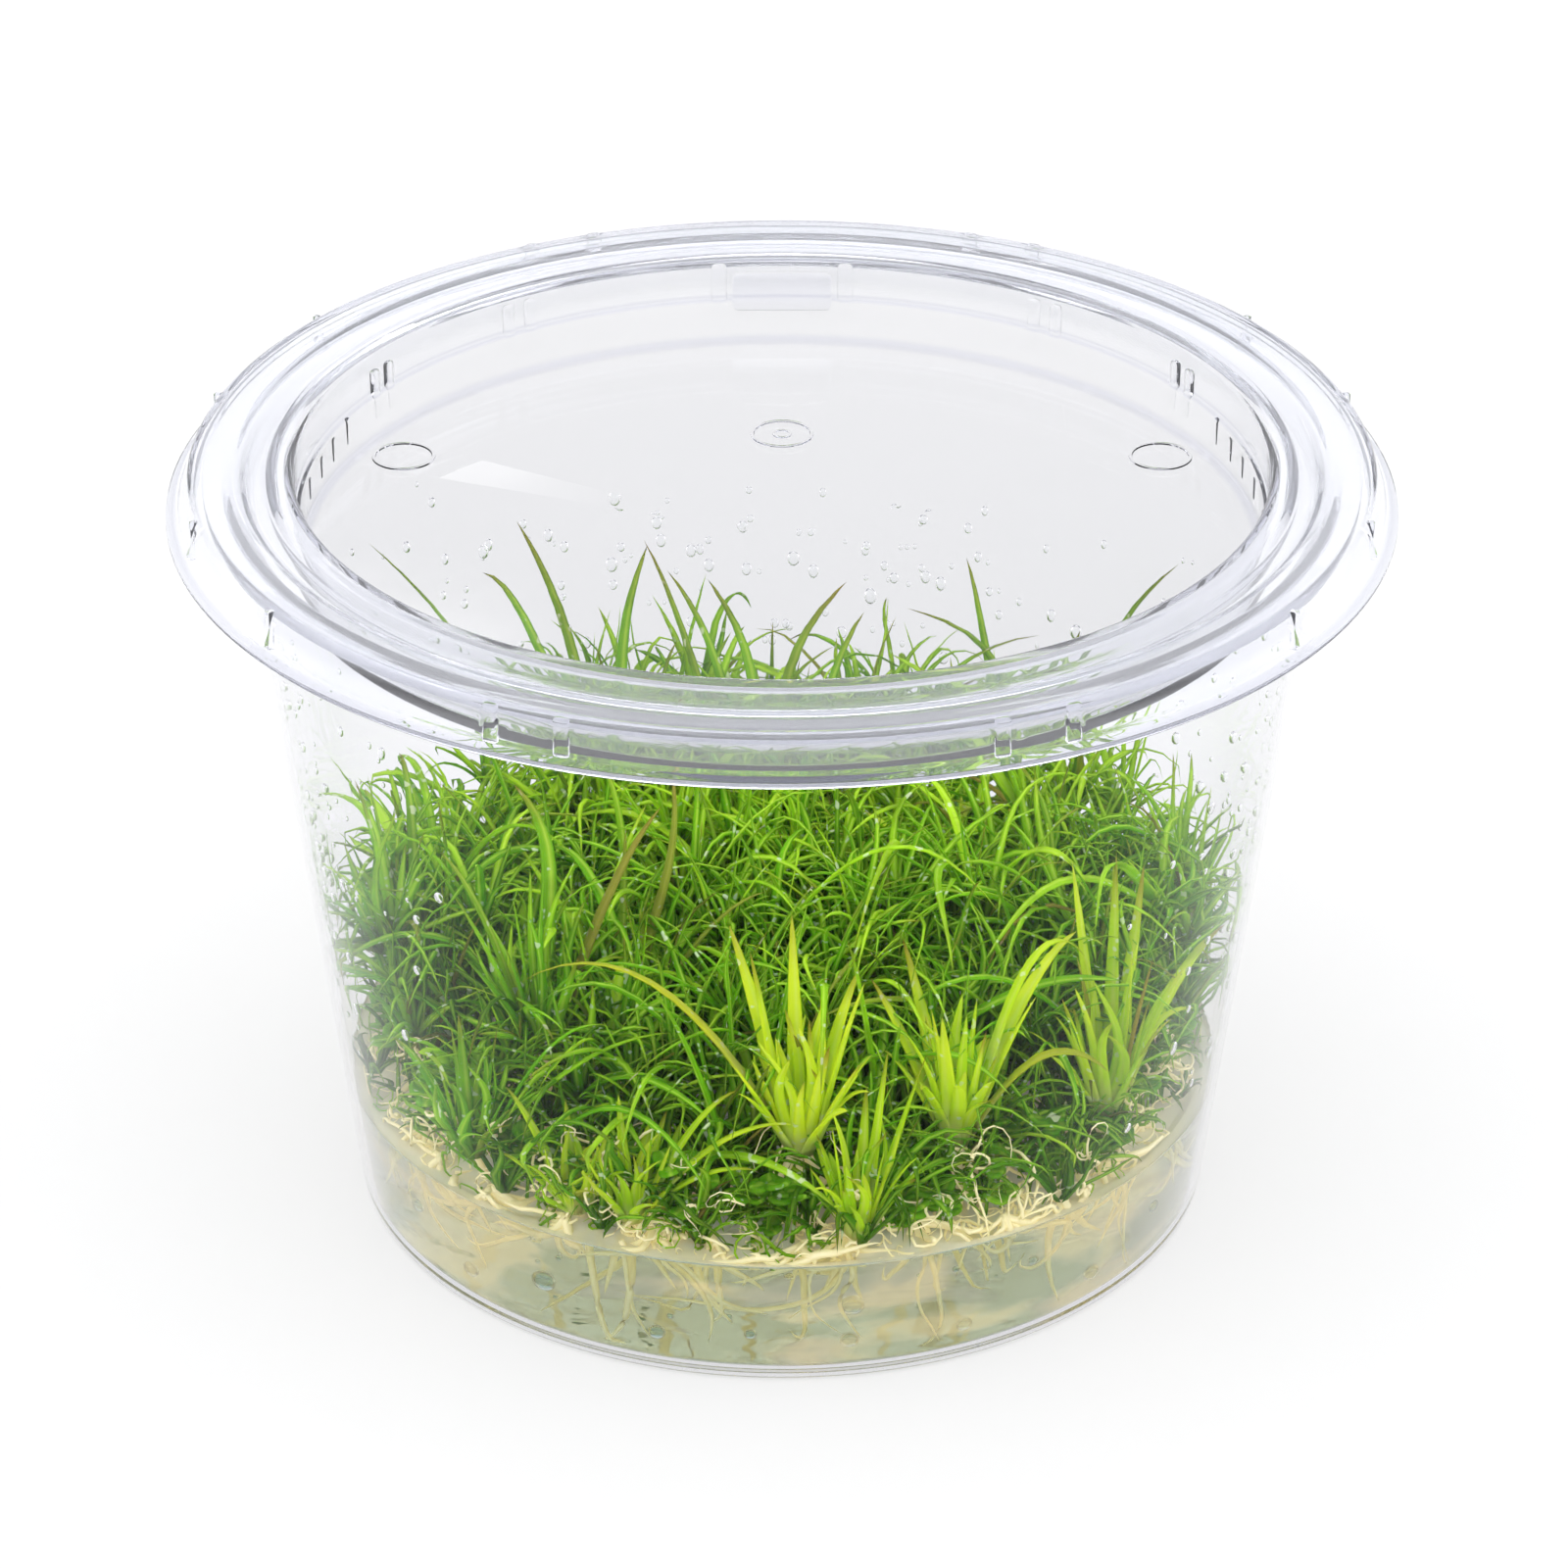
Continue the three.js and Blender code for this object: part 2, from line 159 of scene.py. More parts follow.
class NodeTable:
    # short ways to lay out the nodes of a material or of the sky
    def __init__(self, tree):
        self.nodes, self.links = tree.nodes, tree.links
        self.shader, self.output = tree.nodes.get("Principled BSDF"), tree.nodes.get("Material Output")

    def feed(self, socket, value):
        # links a socket to another node, or sets its own value
        if isinstance(value, bpy.types.NodeSocket):
            self.links.new(value, socket)
        else:
            socket.default_value = (*value, 1) if socket.type == 'RGBA' else value

    def add(self, kind, outlet, sockets=None, **settings):
        node = self.nodes.new("ShaderNode" + kind)
        for name, value in settings.items():
            setattr(node, name, value)
        for name, value in (sockets or {}).items():
            self.feed(node.inputs[name], value)
        return node.outputs[outlet]

    def shade(self, sockets):
        for name, value in sockets.items():
            self.feed(self.shader.inputs[name], value)

    def noise(self, scale, detail, stretch=(1, 1, 1), distortion=0.0):
        place = self.add("TexCoord", "Object")
        stretched = self.add("Mapping", "Vector", {"Vector": place, "Scale": stretch})
        return self.add("TexNoise", "Fac", {"Vector": stretched, "Scale": scale, "Detail": detail,
                                            "Distortion": distortion})

    def ranged(self, source, low, high, fromLow=0.0, fromHigh=1.0):
        return self.add("MapRange", "Result", {"Value": source, "From Min": fromLow, "From Max": fromHigh,
                                               "To Min": low, "To Max": high})

    def blended(self, factor, first, second):
        return self.add("Mix", 2, {"Factor": factor, 6: first, 7: second}, data_type='RGBA')

    def maths(self, operation, first, second=0.0):
        return self.add("Math", "Value", {0: first, 1: second}, operation=operation)

    def ramp(self, source, stops):
        # a colour that changes along the source, by place from 0 to 1
        outlet = self.add("ValToRGB", "Color", {"Fac": source})
        marks = outlet.node.color_ramp.elements
        for mark, (place, colour) in ((marks[0], stops[0]), (marks[1], stops[-1])):
            mark.position, mark.color = place, (*colour, 1)
        for place, colour in stops[1:-1]:
            marks.new(place).color = (*colour, 1)
        return outlet

    def stepped(self, source, stops):
        # a value that changes at places in millimetres along the source
        low, high = stops[0][0], stops[-1][0]
        return self.ramp(self.ranged(source, 0, 1, low * mm, high * mm),
                         [((place - low) / (high - low), (value,) * 3) for place, value in stops])

    def upTo(self):
        # height and distance from the axis
        place = self.add("TexCoord", "Object")
        flat = self.add("VectorMath", "Vector", {0: place, 1: (1, 1, 0)}, operation='MULTIPLY')
        return (self.add("SeparateXYZ", "Z", {"Vector": place}),
                self.add("VectorMath", "Value", {0: flat}, operation='LENGTH'))

    def bumped(self, source, strength, distance):
        self.shade({"Normal": self.add("Bump", "Normal", {"Height": source, "Strength": strength,
                                                          "Distance": distance})})

    def absorbing(self, colour, density):
        self.feed(self.output.inputs["Volume"],
                  self.add("VolumeAbsorption", "Volume", {"Color": colour, "Density": density}))

    def covered(self, factor, first, second):
        self.feed(self.output.inputs["Surface"],
                  self.add("MixShader", "Shader", {"Fac": factor, 1: first, 2: second}))

    def litThrough(self, share, colour):
        # a share of the light comes through from behind, as in a thin sheet
        self.covered(share, self.shader.outputs["BSDF"],
                     self.add("BsdfTranslucent", "BSDF", {"Color": colour}))


def newMaterial(name):
    material = bpy.data.materials.new(name)
    material.use_nodes = True
    return material, NodeTable(material.node_tree)


plastic = {
    "bend": 1.23,
    "glare": (0.04, 0.04, 0.045),
    "depth": (0.355, 0.37, 0.57),           # colour that the light keeps on its way through
}
cupPlastic = {
    "shade": (0.985, 0.985, 0.99), "density": 40, "ripple": 0.1,
    "clearness": ((61.2, 1), (62.2, 0.84)),     # by height up the cup
}
lidPlastic = {
    "shade": (0.94, 0.948, 0.978), "density": 44, "ripple": 0.06,
    # by distance from the lid's middle
    "clearness": ((38.4, 1), (38.7, 0.96), (39.8, 0.96), (40.2, 0.915), (47.3, 0.915), (47.6, 0.985),
                  (48.3, 0.985), (48.55, 0.9), (49.0, 0.9), (49.2, 0.96)),
    "panelShade": (0.88, 0.88, 0.88),
    "panelEdge": (39.8, 40.2),
    "paintedLineShade": (0.6, 0.61, 0.72),
    # painted shade lines, violet-grey, where its walls turn: how strong by height, and from how far out
    "paintedLines": ((57.7, 0.45), (58.2, 0.45), (58.7, 0), (61.85, 0), (62.1, 0.6), (62.35, 0)),
    "paintedLinesFrom": (38.2, 38.7),
    # where the stacking block takes a little of the painted shade
    "blockWithin": (38.6, 38.8),
    "blockAbove": (60.5, 60.7),
}


def clearPlastic(name, look):
    # clear moulded plastic with faint flow ripples, little glare and a violet-grey depth
    material, table = newMaterial(name)
    height, radius = table.upTo()
    shade, along = look["shade"], height

    def past(source, edges, low=0, high=1):
        return table.ranged(source, low, high, edges[0] * mm, edges[1] * mm)

    if "panelShade" in look:                # the lid's panel is greyer
        along = radius
        plain = table.blended(past(radius, look["panelEdge"]), look["panelShade"], shade)
        # painted shade: violet-grey lines where the walls turn, and a little on the stacking block
        paintedLines = table.maths('MULTIPLY', table.stepped(height, look["paintedLines"]),
                            past(radius, look["paintedLinesFrom"]))
        block = table.maths('MULTIPLY', past(radius, look["blockWithin"], 0.2, 0),
                            past(height, look["blockAbove"]))
        shade = table.blended(table.maths('MAXIMUM', paintedLines, block), plain, look["paintedLineShade"])
    table.shade({"IOR": plastic["bend"], "Specular Tint": plastic["glare"], "Base Color": shade,
                 "Roughness": table.ranged(table.noise(140, 4), 0.0, 0.03, 0.35, 0.75),
                 "Transmission Weight": table.stepped(along, look["clearness"])})
    table.bumped(table.noise(90, 2, (1, 1, 0.35)), look["ripple"], 0.0004)
    table.absorbing(plastic["depth"], look["density"])
    return material


gelLook = {
    "bend": 1.335,
    "glare": (0.4, 0.4, 0.4),
    "sides": ((0.71, 0.85, 0.83), (1, 0.93, 0.62)),     # its clear parts and its cream streaks
    "sideClearness": (0.99, 0.74),
    "top": (1, 0.95, 0.72),
    "topClearness": 0.22,
    "foot": (1, 0.95, 0.76),
    "depth": (0.84, 0.83, 0.3),
    "density": 8,
}


def gelMaterial():
    material, table = newMaterial("nutrientGel")
    haze = table.noise(62, 3, (1, 1, 2.6), 0.8)
    streak = table.ranged(haze, 0, 1, 0.48, 0.6)
    # its top is creamier and less clear
    height = table.upTo()[0]
    slope = table.add("SeparateXYZ", "Z", {"Vector": table.add("NewGeometry", "Normal")})
    upper = table.maths('MULTIPLY', table.ranged(table.maths('ABSOLUTE', slope), 0, 1, 0.4, 0.75),
                        table.ranged(height, 0, 1, 0.009, 0.0095))
    table.shade({"IOR": gelLook["bend"], "Specular Tint": gelLook["glare"],
                 "Transmission Weight": table.add("Mix", "Result", {
                     "Factor": upper, "A": table.ranged(streak, *gelLook["sideClearness"]),
                     "B": gelLook["topClearness"]}),
                 "Base Color": table.blended(upper, table.blended(streak, *gelLook["sides"]), gelLook["top"]),
                 "Roughness": table.ranged(haze, 0.0, 0.05, 0.35, 0.8)})
    table.bumped(table.noise(110, 2, (1, 1, 1.6)), 0.2, 0.001)
    table.absorbing(gelLook["depth"], gelLook["density"])
    # light comes up through its cloudy foot in cream patches
    under = table.ranged(height, 0.95, 0, 0.0009, 0.0014)
    table.litThrough(table.maths('MULTIPLY', under, table.ranged(streak, 0.15, 1)), gelLook["foot"])
    return material


def waterMaterial():
    material, table = newMaterial("waterDrop")
    film = table.noise(900, 2)
    table.shade({"Transmission Weight": 1, "IOR": 1.333, "Roughness": table.ranged(film, 0.0, 0.03),
                 "Base Color": table.blended(film, (1, 1, 1), (0.97, 0.985, 1))})
    return material


leafTouches = {"paintedGlint": (0.95, 1, 0.72), "redTip": (0.33, 0.2, 0.03), "brown": (0.36, 0.2, 0.06)}


def leafMaterial(name, shades):
    # wet thin leaf: tone, age and chance come with each leaf, length and width from its UV map
    material, table = newMaterial(name)
    tint = table.add("Attribute", "Color", attribute_name="tint")
    tone, age, chance = table.add("SeparateColor", 0, {"Color": tint}).node.outputs
    place = table.add("UVMap", "UV", uv_map="leafMap")
    across, along = table.add("SeparateXYZ", "X", {"Vector": place}).node.outputs[:2]
    plain = table.ramp(tone, ((0, shades["deep"]), (0.5, shades["middle"]), (1, shades["light"])))

    # a painted highlight stripe down each leaf, parallel veins, cloudy patches and painted glints
    paintedHighlightStripe = table.ramp(across, ((0.12, (0, 0, 0)), (0.38, (0.85, 0.85, 0.85)), (0.62, (0, 0, 0))))
    shine = table.maths('MULTIPLY', paintedHighlightStripe, table.ranged(tone, 0.25, 1, 0.05, 0.5))
    striped = table.blended(shine, plain, shades["veinAndHighlight"])
    stretched = table.add("Mapping", "Vector", {"Vector": place, "Scale": (9, 1.2, 1)})
    veins = table.add("TexNoise", "Fac", {"Vector": stretched, "Scale": 1.6, "Detail": 3})
    veined = table.blended(table.ranged(veins, 0.0, 0.25, 0.4, 0.7), striped, shades["veinAndHighlight"])
    patch = table.ranged(table.noise(260, 3), 0.0, 0.45, 0.45, 0.75)
    clouded = table.blended(patch, veined, shades["deep"])
    # painted glints: small pale spots in the colour that stand in for highlights on wet leaves
    glint = table.ranged(table.noise(900, 1), 0, 0.85, 0.67, 0.71)
    glinting = table.blended(glint, clouded, leafTouches["paintedGlint"])

    # pale foot on the bright plants, dark foot on the green ones as painted shade down in the bed, reddish
    # tip and brown old leaves
    footed = table.blended(table.ranged(along, 0.75, 0.0, 0.0, 0.3), glinting, shades["foot"])
    reddish = table.maths('MULTIPLY', table.ranged(along, 0.0, 1.0, 0.7, 1.0), chance)
    tipped = table.blended(reddish, footed, leafTouches["redTip"])
    aged = table.blended(age, tipped, leafTouches["brown"])
    table.shade({"Base Color": aged, "Roughness": 0.25, "Specular IOR Level": 0.04})
    table.bumped(veins, 0.45, 0.0001)
    table.litThrough(shades["litThrough"], table.blended(0.35, aged, shades["glow"]))
    return material


rootShades = {
    "mottle": ((1, 0.95, 0.66), (0.9, 0.82, 0.42)),
    "through": (1, 0.95, 0.7),
    "glow": (1, 0.84, 0.4),                 # in place of the light that the gel scatters onto them
    "glowStrength": 0.15,
}


def rootMaterial():
    material, table = newMaterial("rootThread")
    table.shade({"Base Color": table.blended(table.noise(500, 3), *rootShades["mottle"]), "Roughness": 0.4,
                 "Emission Color": rootShades["glow"], "Emission Strength": rootShades["glowStrength"]})
    table.litThrough(0.12, rootShades["through"])
    return material


# the vein colour also paints each leaf's highlight stripe
greenShades = {
    "deep": (0.012, 0.13, 0.001), "middle": (0.18, 0.58, 0.005), "light": (0.62, 0.93, 0.025),
    # the dark foot is painted shade down in the bed
    "veinAndHighlight": (0.72, 0.96, 0.1), "foot": (0.09, 0.36, 0.006), "glow": (0.5, 0.93, 0.006),
    "litThrough": 0.42,
}
brightShades = {
    "deep": (0.38, 0.72, 0.006), "middle": (0.74, 0.96, 0.018), "light": (0.92, 1.0, 0.05),
    "veinAndHighlight": (0.92, 1.0, 0.18), "foot": (0.97, 0.97, 0.58), "glow": (0.84, 1.0, 0.04),
    "litThrough": 0.54,
}
cupFinish = clearPlastic("clearCup", cupPlastic)
lidFinish = clearPlastic("clearLid", lidPlastic)
gelFinish = gelMaterial()
waterFinish = waterMaterial()
greenLeaf = leafMaterial("greenLeaf", greenShades)
brightLeaf = leafMaterial("brightLeaf", brightShades)
rootFinish = rootMaterial()
print("materials ready")


cup = {
    "baseRadius": 35.9,
    "mouthRadius": 43.8,
    "wallTop": 62.3,
    "wall": 0.9,
    "floor": 0.6,
    "footRing": 1.4,                        # width of the ring that it stands on
    "footRise": 0.15,                       # the underside is this much higher inside the ring
    "flangeRadius": 46.9,
    "flangeTop": 65.0,
    "steps": 192,
}


def innerRadius(height):
    # radius of the cup's inner wall at a height
    flare = cup["mouthRadius"] - cup["baseRadius"]
    return cup["baseRadius"] + flare * height / cup["wallTop"] - cup["wall"]


def makeCup():
    base, mouth, top = cup["baseRadius"], cup["mouthRadius"], cup["wallTop"]
    flange, rim = cup["flangeRadius"], cup["flangeTop"]
    ring = base - 0.5 - cup["footRing"]
    piece = turnSection("cup_shell", [
        (0, cup["footRise"], 0),
        (ring - 0.5, cup["footRise"], 0.15),
        (ring, 0, 0.1),
        (base - 0.5, 0, 0.15),
        (base + 0.05, 0.5, 0.25),
        (mouth, top, 0.6),
        (mouth + 1.4, rim - 0.9, 0.4),
        (flange, rim - 0.9, 0.3),
        (flange, rim, 0.3),
        (mouth + 1.0, rim, 0.4),
        (mouth - 0.6, top + 0.9, 0.4),
        (mouth - cup["wall"], top, 0.3),
        (innerRadius(1.3), 1.3, 0.3),
        (innerRadius(0) - 0.3, cup["floor"], 0.3),
        (0, cup["floor"], 0),
    ], cup["steps"])
    smooth(piece, 30)
    finishPiece(piece, ["cup"], [cupFinish])


makeCup()
print("cup made")


lid = {
    "sheet": 0.7,
    "panelTop": 58.4,
    "recessRadius": 39.4,
    "crestTop": 66.1,
    "landTop": 66.0,
    "sealFloor": 64.9,
    "landRadius": 47.2,
    "lipRadius": 49.85,
    "lipTop": 62.5,
    "steps": 192,
    # ribs down the skirt: degrees from the front and width, then place outwards, height, depth, length
    "ribs": ((20, 1.3), (27, 1.3), (55, 0.6), (75.5, 0.6)),
    "ribShape": (0.85, 63.9, 0.75, 3.4),
    # ring marks on the panel: place across and depth, radius, thickness, steps
    "gateMarks": ((-31.6, 15, 2.5, 0.16, 48), (0, 19.4, 2.5, 0.16, 48), (31.6, 15, 2.5, 0.16, 48),
                  (0, 19.4, 0.7, 0.12, 32)),
    "block": (62.9, 8.6, 1.5, 3.4, 0.5),    # stacking block: height, width, depth, length, rounding
    # lugs on the recess wall: degrees from the back, height, width, length
    "wallLugs": ((8, 63.0, 1.3, 5.0), (33.4, 62.6, 1.1, 4.6), (36.6, 62.6, 1.1, 4.6), (57.5, 62.2, 1.0, 4.4),
                 (60.5, 62.2, 1.0, 4.4), (68, 60.9, 0.7, 2.4), (72.5, 60.6, 0.7, 2.2), (77, 60.4, 0.7, 2.0),
                 (83, 60.4, 0.7, 2.0), (92, 60.4, 0.7, 2.0)),
    "wallLedge": 62.1,
}


def lidSheet():
    sheet, recess, ledge, seal = lid["sheet"], lid["recessRadius"], lid["wallLedge"], lid["sealFloor"]
    panel, crest, top, land = lid["panelTop"], lid["crestTop"], lid["landTop"], lid["landRadius"]
    lip, lipTop = lid["lipRadius"], lid["lipTop"]
    return turnSection("lid_shell", [
        (0, panel - sheet, 0),
        (recess + 0.25, panel - sheet, 0.4),
        (recess + 0.3, ledge - 0.7, 0.2),
        (recess + 0.65, ledge - 0.3, 0.2),
        (recess + 0.7, top - sheet + 0.1, 0.2),
        (recess + 1.4, top - sheet + 0.1, 0.2),
        (recess + 1.8, seal - sheet, 0.3),
        (recess + 3.9, seal - sheet, 0.4),
        (recess + 4.65, top - sheet, 0.3),
        (land, top - sheet, 0.6),
        (lip - 1.5, lipTop - 0.1, 0.2),
        (lip - 0.25, lipTop - 0.6, 0.1),
        (lip, lipTop - 0.3, 0.1),
        (lip - 0.05, lipTop, 0.1),
        (lip - 0.95, lipTop + 0.45, 0.3),
        (land + 0.7, top - 0.4, 0.3),
        (land, top, 0.3),
        (recess + 4.8, top, 0.3),
        (recess + 3.7, seal, 0.4),
        (recess + 2.5, seal, 0.4),
        (recess + 1.8, crest, 0.35),
        (recess + 0.4, crest, 0.3),
        (recess, crest - 0.6, 0.2),
        (recess - 0.05, ledge + 0.15, 0.15),
        (recess - 0.4, ledge - 0.15, 0.15),
        (recess - 0.5, panel, 0.35),
        (0, panel, 0),
    ], lid["steps"])


def addBlock(angle, radius, height, width, depth, length, rounding):
    # a rounded block on a circle, at an angle in degrees from the front
    turn = math.radians(angle)
    startClean()
    bpy.ops.mesh.primitive_cube_add(size=1, location=tuple(onCircle(turn, radius, height) * mm),
                                    rotation=(0, 0, turn), scale=(width * mm, depth * mm, length * mm))
    block = bpy.context.object
    bpy.ops.object.transform_apply(location=True, rotation=True, scale=True)
    editAll()
    bpy.ops.mesh.bevel(offset=rounding * mm, segments=3, affect='EDGES')
    leaveEdit()
    return block


def joinPieces(pieces):
    startClean()
    for piece in pieces:
        piece.select_set(True)
    bpy.context.view_layer.objects.active = pieces[0]
    bpy.ops.object.join()
    return bpy.context.object


def booleanOn(piece, tool, operation):
    modifier = piece.modifiers.new(operation.lower(), 'BOOLEAN')
    modifier.operation = operation
    modifier.object = tool
    modifier.solver = 'EXACT'
    modifier.use_self = True
    applyModifier(piece, modifier)
    bpy.data.objects.remove(tool)


def makeLid():
    piece = lidSheet()
    lugs = []
    out, height, depth, length = lid["ribShape"]
    for angle, width in lid["ribs"]:
        for turn in (angle, -angle, 180 - angle, angle - 180):
            lugs.append(addBlock(turn, lid["landRadius"] + out, height, width, depth, length, width * 0.22))
    lugs.append(addBlock(180, lid["recessRadius"] - 0.5, *lid["block"]))
    for angle, height, width, length in lid["wallLugs"]:
        for turn in (180 - angle, 180 + angle):
            lugs.append(addBlock(turn, lid["recessRadius"] - 0.2, height, width, 0.7, length, width * 0.3))
    for x, y, radius, thickness, steps in lid["gateMarks"]:
        startClean()
        bpy.ops.mesh.primitive_torus_add(location=(x * mm, y * mm, lid["panelTop"] * mm),
                                         major_radius=radius * mm, minor_radius=thickness * mm,
                                         major_segments=steps, minor_segments=8)
        lugs.append(bpy.context.object)
    booleanOn(piece, joinPieces(lugs), 'UNION')
    smooth(piece, 30)
    finishPiece(piece, ["lid"], [lidFinish])


makeLid()
print("lid made")


gel = {
    "top": 11.0,
    "edge": 11.5,                           # height of the meniscus at the wall
    "clearance": 0.05,
    "steps": 144,
    "surfaceRings": 15,
    "swell": 0.7,                           # depth of the dips in the surface
    # bubbles: place across, depth, height, radius
    "bubbles": ((-18.8, -28.0, 5.4, 1.1), (5.5, -33.0, 6.3, 1.0), (5.3, -33.0, 2.9, 0.8),
                (-9.9, -32.0, 3.0, 0.75), (-24.7, -23.0, 3.2, 0.8), (24.6, -23.2, 3.0, 0.85),
                (14.4, -30.3, 2.6, 0.7), (-2.5, -33.2, 3.6, 0.5), (19.5, -26.0, 6.5, 0.5),
                (-28.5, -17.0, 6.0, 0.7), (29.0, -15.5, 5.0, 0.6), (0.5, -31.0, 8.5, 0.4)),
    "seed": 31,
    "smallBubbles": 34,
    "smallHeight": (2.2, 9.4),
    "smallInset": (0.8, 7),                 # how far in from the wall
    "smallRadius": (0.12, 0.35),
}


def makeGel():
    slack, top, edge = gel["clearance"], gel["top"], gel["edge"]
    foot = cup["floor"] + slack
    rim = innerRadius(edge) - slack
    spread, rings = rim - 3.2, gel["surfaceRings"]
    piece = turnSection("gel_block", [
        (0, foot, 0),
        (innerRadius(0) - 0.45, foot, 0.2),
        (innerRadius(1.5) - slack, foot + 0.75, 0.3),
        (rim, edge, 0),
        (rim - 0.25, edge - 0.3, 0.15),
        (rim - 0.9, top + 0.2, 0.25),
        (rim - 2.0, top, 0.3),
        *((spread * (1 - ring / rings), top, 0) for ring in range(rings)),
        (0, top, 0),
    ], gel["steps"])

    # the surface is a little lumpy
    surface = piece.vertex_groups.new(name="surface")
    surface.add([v.index for v in piece.data.vertices if v.co.z > (top - 0.01) * mm
                 and math.hypot(v.co.x, v.co.y) < (rim - 1.5) * mm], 1, 'REPLACE')
    lumps = bpy.data.textures.new("gelLumps", 'CLOUDS')
    lumps.noise_scale = 0.007
    lumps.noise_depth = 1
    swell = piece.modifiers.new("swell", 'DISPLACE')
    swell.texture = lumps
    swell.direction = 'Z'
    swell.vertex_group = "surface"
    swell.mid_level = 0.55
    swell.strength = 2 * gel["swell"] * mm
    applyModifier(piece, swell)

    # bubbles of air left in the set gel
    chance = np.random.default_rng(gel["seed"])
    spots = list(gel["bubbles"])
    for _ in range(gel["smallBubbles"]):
        angle, height = chance.uniform(0, 2 * math.pi), chance.uniform(*gel["smallHeight"])
        radius = innerRadius(height) - chance.uniform(*gel["smallInset"])
        spots.append((*onCircle(angle, radius, height), chance.uniform(*gel["smallRadius"])))
    hollows = []
    for x, y, z, radius in spots:
        startClean()
        bpy.ops.mesh.primitive_ico_sphere_add(subdivisions=3 if radius > 0.45 else 2, radius=radius * mm,
                                              location=(x * mm, y * mm, z * mm))
        bpy.ops.transform.resize(value=(1, 1, 0.88))
        hollows.append(bpy.context.object)
    booleanOn(piece, joinPieces(hollows), 'DIFFERENCE')
    smooth(piece, 40)
    finishPiece(piece, ["agar_gel"], [gelFinish])


makeGel()
print("gel made")


# Where the plants grow: the same crowns, leaves and roots as the solids have

bed = {
    "crownRadius": 1.8,
    "crownStretch": 0.95,
    "rootWidth": 0.9,
    "gap": 0.3,
    "gelTop": 11.0,
    "headroom": 57.4,                       # underside of the lid's panel, less the gap
    "seed": 5021,
    "seats": 29,
    "radius": 33.5,
    "whorlLeaves": 5,
    "whorlWidth": 1.1,
    # how far a leaf may turn aside to miss the others, in degrees
    "leafTurns": (0, 3, -3, 6, -6, 9, -9, 13, -13, 18, -18, 24, -24),
    "whorlTurns": (0, 12, -12, 24, -24, 36, -36),
}

